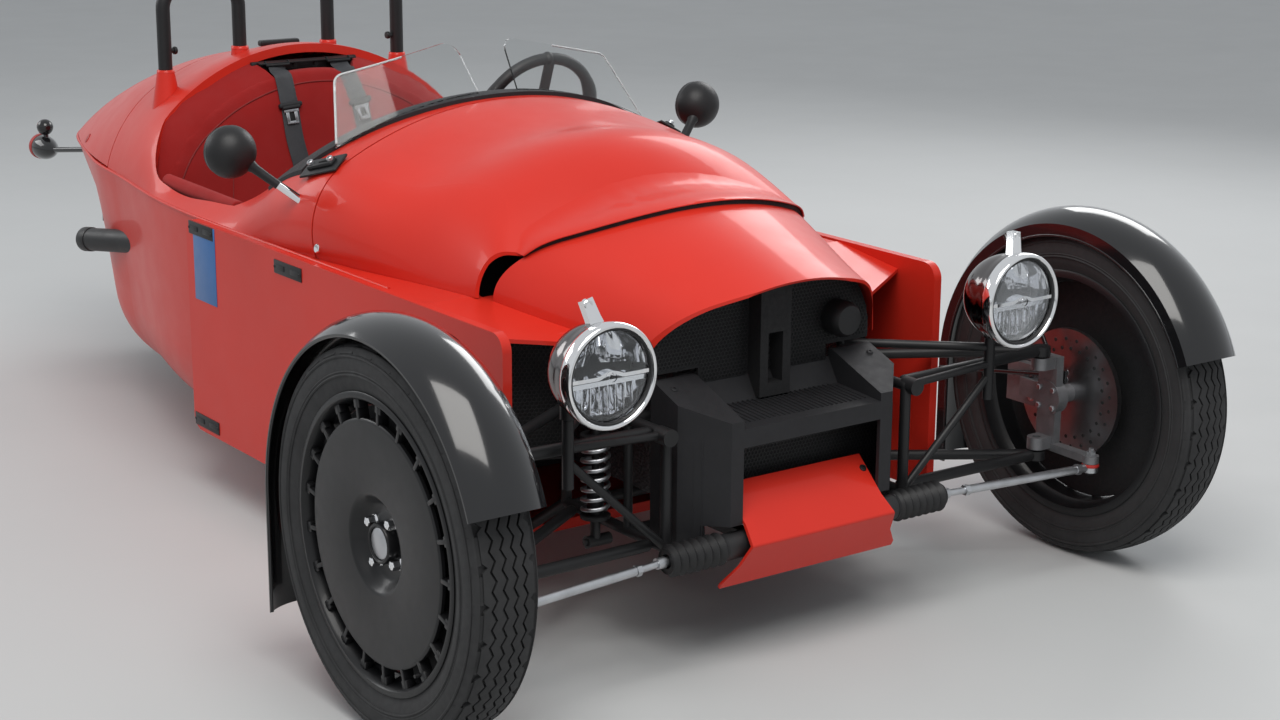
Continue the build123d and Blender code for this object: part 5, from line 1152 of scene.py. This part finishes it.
# Windscreens: polished edges, and the end plates of the strip with their slotted clamps
screen_tree = tree_of("windscreens")
for side, name in SIDES:
    path = []
    for x in np.concatenate([np.linspace(0.026, 0.075, 26), np.linspace(0.085, 0.34, 30),
            np.linspace(0.345, 0.404, 34)]):
        low = 0.858 if strike(screen_tree, (side * x, -2.0, 0.858), (0, 1, 0)) else 0.8
        top_z = last_inside(low, 1.062, lambda z: strike(screen_tree, (side * x, -2.0, z), (0, 1, 0)), 14)
        found = strike(screen_tree, (side * x, -2.0, top_z - 0.0006), (0, 1, 0))
        if found:
            path.append(found[0] + Vector((0, 0.0024, -0.0012)))
    edge = Shape()
    edge.tube(path, 0.0028, 8)
    edge.make(f"screen_edge_{name}", SCREEN_EDGE, "clear_screen", 60)
skin_tree = tree_of("windscreen_strip", "body_upper", "bonnet")
for side, name in SIDES:
    centre = strike(skin_tree, (side * 1.2, -0.425, 1.1),
        Vector((side * 0.452, -0.425, 0.825)) - Vector((side * 1.2, -0.425, 1.1)))
    ahead_hit = strike(skin_tree, (side * 1.2, -0.47, 1.1),
        Vector((side * 0.44, -0.47, 0.837)) - Vector((side * 1.2, -0.47, 1.1)))
    spot, normal = centre
    ahead = ahead_hit[0] - spot
    ahead = (ahead - normal * ahead.dot(normal)).normalized()
    across = normal.cross(ahead)
    turn = Matrix((ahead, across, normal)).transposed()
    plate = Shape()
    plate.box(spot + normal * 0.0035, (0.108, 0.056, 0.006), 0.0025, turn, 3)
    plate.box(spot + normal * 0.01, (0.074, 0.026, 0.012), 0.005, turn, 4)
    plate.box(spot + normal * 0.015 + ahead * 0.012, (0.028, 0.01, 0.008), 0.0025, turn, 3)
    plate.make(f"screen_clamp_{name}", SATIN_BLACK, "moulded_plastic", 35)
    studs = Shape()
    for shift in (-0.028, 0.03):
        studs.lathe(spot + ahead * shift + normal * 0.015, normal,
            mm((0, 0), (7.5, 0), (7.5, 6), (6, 7.5), (3.8, 7.5), (3.4, 4), (0, 4)), 24)
    studs.make(f"screen_studs_{name}", STEEL, "bare_steel", 35)

# Roll hoop knobs, the black bar on the deck and the oval plug of the boot lid
HOOP_Y = aft(2.038)
for side, name in SIDES:
    turned(f"hoop_knob_{name}", SATIN_BLACK, "black_paint", (side * 0.3175, HOOP_Y, 0.955), (-side, 0, 0),
        mm((0, -2), (6, -2), (6, 6), (9.5, 7), (10, 12), (8.5, 15.5), (0, 16.5)), 28, 40)
    for x, z, radius in ((0.334, 0.9075, 0.0215), (0.127, 0.9545, 0.0215)):
        turned(f"hoop_collar_{name}{1 if x > 0.2 else 2}", RED, "body_paint", (side * x, HOOP_Y, z),
            (0, 0, 1), [(0.0176, -0.006), (radius + 0.0012, -0.006), (radius, 0.0),
            (radius - 0.0012, 0.0012), (0.0176, 0.0014)], 40, 40, closed=True)
deck = tree_of("body_upper", "boot_lid")
deck_hit = strike(deck, (0, 0.65, 1.3), (0, 0, -1))
bar = Shape()
bar.box(deck_hit[0] + Vector((0, 0, 0.006)), (0.112, 0.024, 0.015), 0.005, None, 4)
bar.make("deck_bar", SATIN_BLACK, "moulded_plastic", 40)
plug_hit = strike(deck, Vector((-0.346, 1.114, 0.669)) + Vector((-0.82, 0.25, 0.52)) * 0.2,
    (0.82, -0.25, -0.52))
turned("boot_plug", BALL_RED, "body_paint", plug_hit[0], plug_hit[1],
    mm((0, -2), (12.5, -2), (13.5, 0.8), (12, 2), (0, 2.4)), 32, 40, body="boot")

# Dash: dials with rings, tick marks and needles, a switch row
AFT = Vector((0, 1, 0))
for side, name in SIDES:
    face_at = Vector((side * 0.066, aft(1.173), 0.8))
    turned(f"dial_ring_{name}", CHROME, "bright_metal", face_at, (0, 1, 0),
        mm((50, -4), (57.5, -4), (57.5, 3), (55, 5), (51.5, 4), (50, 1)), 64, 50, closed=True)
    turned(f"dial_face_{name}", DIAL, "satin_black", face_at, (0, 1, 0),
        mm((0, 0), (50.5, 0), (50.5, 0.8), (0, 0.8)), 64, 40)
    marks = Shape()
    for k in range(31):
        turn = radians(225 - 9 * k)
        long = k % 5 == 0
        way = Vector((cos(turn), 0, sin(turn)))
        axes = Matrix((AFT.cross(way), AFT, way)).transposed()
        reach = 0.009 if long else 0.005
        marks.box(face_at + way * (0.0455 - reach / 2) + Vector((0, 0.0012, 0)),
            (0.0016 if long else 0.0008, 0.0006, reach), 0, axes)
    turn = radians(150 if side < 0 else 110)
    way = Vector((cos(turn), 0, sin(turn)))
    axes = Matrix((AFT.cross(way), AFT, way)).transposed()
    marks.box(face_at + way * 0.014 + Vector((0, 0.003, 0)), (0.0022, 0.001, 0.046), 0.0003, axes)
    marks.lathe(face_at + Vector((0, 0.001, 0)), (0, 1, 0), mm((0, 0), (6, 0), (5.5, 3.5), (0, 4)), 24)
    marks.make(f"dial_marks_{name}", DARK, "satin_black", 30)
switches = Shape()
for k in range(5):
    x = -0.06 + 0.03 * k
    switches.lathe((x, aft(1.146), 0.705), (0, 1, 0),
        mm((0, 0), (8.5, 0), (8.5, 3), (4.5, 4), (3, 20), (4.2, 26), (0, 28)), 20)
switches.make("dash_switches", STEEL, "satin_black", 35)

# Steering wheel: stitched thumb rests, spoke bolts and a blank centre
hand = Vector((0.29, aft(1.3), 0.83))
rake = radians(20)
toward = Vector((0, cos(rake), sin(rake)))
level, rising = Vector((1, 0, 0)), Vector((0, -sin(rake), cos(rake)))
turned("steering_boss", SATIN_BLACK, "grip_trim", hand, toward,
    mm((0, -6), (34, -6), (36, -3), (35, 4), (30, 7.5), (26, 8), (25, 6.5), (0, 7)), 56, 40,
    body="hand_wheel")
bolts = Shape()
for k in range(6):
    turn = 2 * pi * k / 6 + 0.3
    bolts.socket_screw(hand + (level * cos(turn) + rising * sin(turn)) * 0.0305 + toward * 0.0066, toward,
        0.003, 0.0022)
bolts.make("steering_bolts", STEEL, "bare_steel", 35, body="hand_wheel")
rests = Shape()
for centre_turn, span in ((radians(20), 0.3), (radians(160), 0.3), (radians(90), 0.05)):
    path, radii = [], []
    for t in np.linspace(-span, span, 25):
        turn = centre_turn + t
        path.append(hand + (level * cos(turn) + rising * sin(turn)) * 0.156)
        radii.append(0.0141 + 0.003 * cos(t / span * pi / 2))
    rests.tube(path, radii, 24)
rests.make("steering_thumb_rests", GRIP, "grip_trim", 50, body="hand_wheel")

# Tail lamps: red lens, ring and amber lens on each indicator ball
for side, name in SIDES:
    tip = Vector((side * 0.224, LENGTH / 2, 0.545))
    turned(f"tail_lens_{name}", RED_LENS, "black_paint", tip, (0, 1, 0),
        mm((32.5, -12), (33.5, -11), (20, -2.6), (0, 0)), 48, 50)
    turned(f"tail_ring_{name}", BALL_RED, "black_paint", tip, (0, 1, 0),
        mm((34, -30), (37.2, -29), (37.6, -14), (35, -11), (33, -11.8), (33.5, -14)), 56, 50, closed=True)
    ball = Vector((side * 0.224, LENGTH / 2 - 0.055, 0.607))
    turned(f"tail_indicator_{name}", AMBER_LENS, "black_paint", ball, (0, 1, 0),
        [(0.0246 * sin(t), 0.0246 * cos(t)) for t in np.linspace(1.0, 0.12, 10)] + [(0, 0.0247)], 40, 60)

# Blank plate on its holder, exhaust tip, brake details, cabin mats
plate = Shape()
plate.box((0, aft(3.0475), 0.3855), (0.202, 0.0025, 0.104), 0.001, None)
plate.make("blank_plate", PLATE, "satin_black", 30)
plate_bolts = Shape()
for x in (-0.08, 0.08):
    for z in (0.35, 0.421):
        plate_bolts.socket_screw((x, aft(3.0487), z), (0, 1, 0), 0.005, 0.0025)
plate_bolts.make("plate_bolts", SATIN_BLACK, "bare_steel", 30)
pipe = Vector((-0.055, 0.33, -0.04)).normalized()
tip_end = Vector((-0.455, aft(2.32), 0.44))
turned("exhaust_tip", SATIN_BLACK, "satin_black", tip_end, pipe,
    mm((25.6, -34), (31.5, -34), (32.2, -28), (32.2, -3), (30.5, 0), (26.8, 0), (25.6, -4)), 48, 40,
    closed=True)
for side, name in SIDES:
    # the drilled holes are not cut: dark dimples on the disc face are painted shade for them
    holes = Shape()
    for k in range(24):
        turn = 2 * pi * k / 24
        for r in (0.098, 0.118):
            spin = turn + (0.13 if r > 0.1 else 0)
            spot = wheel_point(side, (side * 0.852, aft(0), 0.355), -0.0462, r, spin)
            holes.lathe(spot, (-side, 0, 0), mm((0, 0), (4.2, 0), (3.6, 0.6), (0, 0.4)), 12)
    holes.make(f"disc_drilling_painted_shade_{name}", DARK, "disc_metal", 30, body=f"front_wheel_{name}")
    mat = Shape()
    mat.box((side * 0.205, aft(1.1), 0.1415), (0.33, 0.56, 0.007), 0.003, None, 3)
    for k in range(9):
        mat.box((side * 0.205, aft(0.9) + 0.045 * k, 0.1458), (0.27, 0.006, 0.003), 0.0012, None)
    mat.make(f"floor_mat_{name}", CARPET, "moulded_plastic", 30)

# Front shroud: cheek flutes and screws
flutes = Shape()
for side in (-1, 1):
    out = Vector((side * 0.75, -0.66, 0)).normalized()
    for share in (0.36, 0.64):
        x, y = 0.262 - 0.04 * share, -0.03 - 0.0455 * share
        flutes.sweep([Vector((side * x, aft(y), z)) + out * 0.0005 for z in (0.215, 0.33, 0.44)],
            mm((-2.2, -2), (2.2, -2), (1.4, 1.6), (-1.4, 1.6)), up=out)
    found = strike(shroud, (side * 0.245, aft(0.02), 1.0), (0, 0, -1))
    if found:
        flutes.socket_screw(found[0], found[1], 0.007, 0.0035)
flutes.make("shroud_flutes", MOULDED, "moulded_plastic", 35)
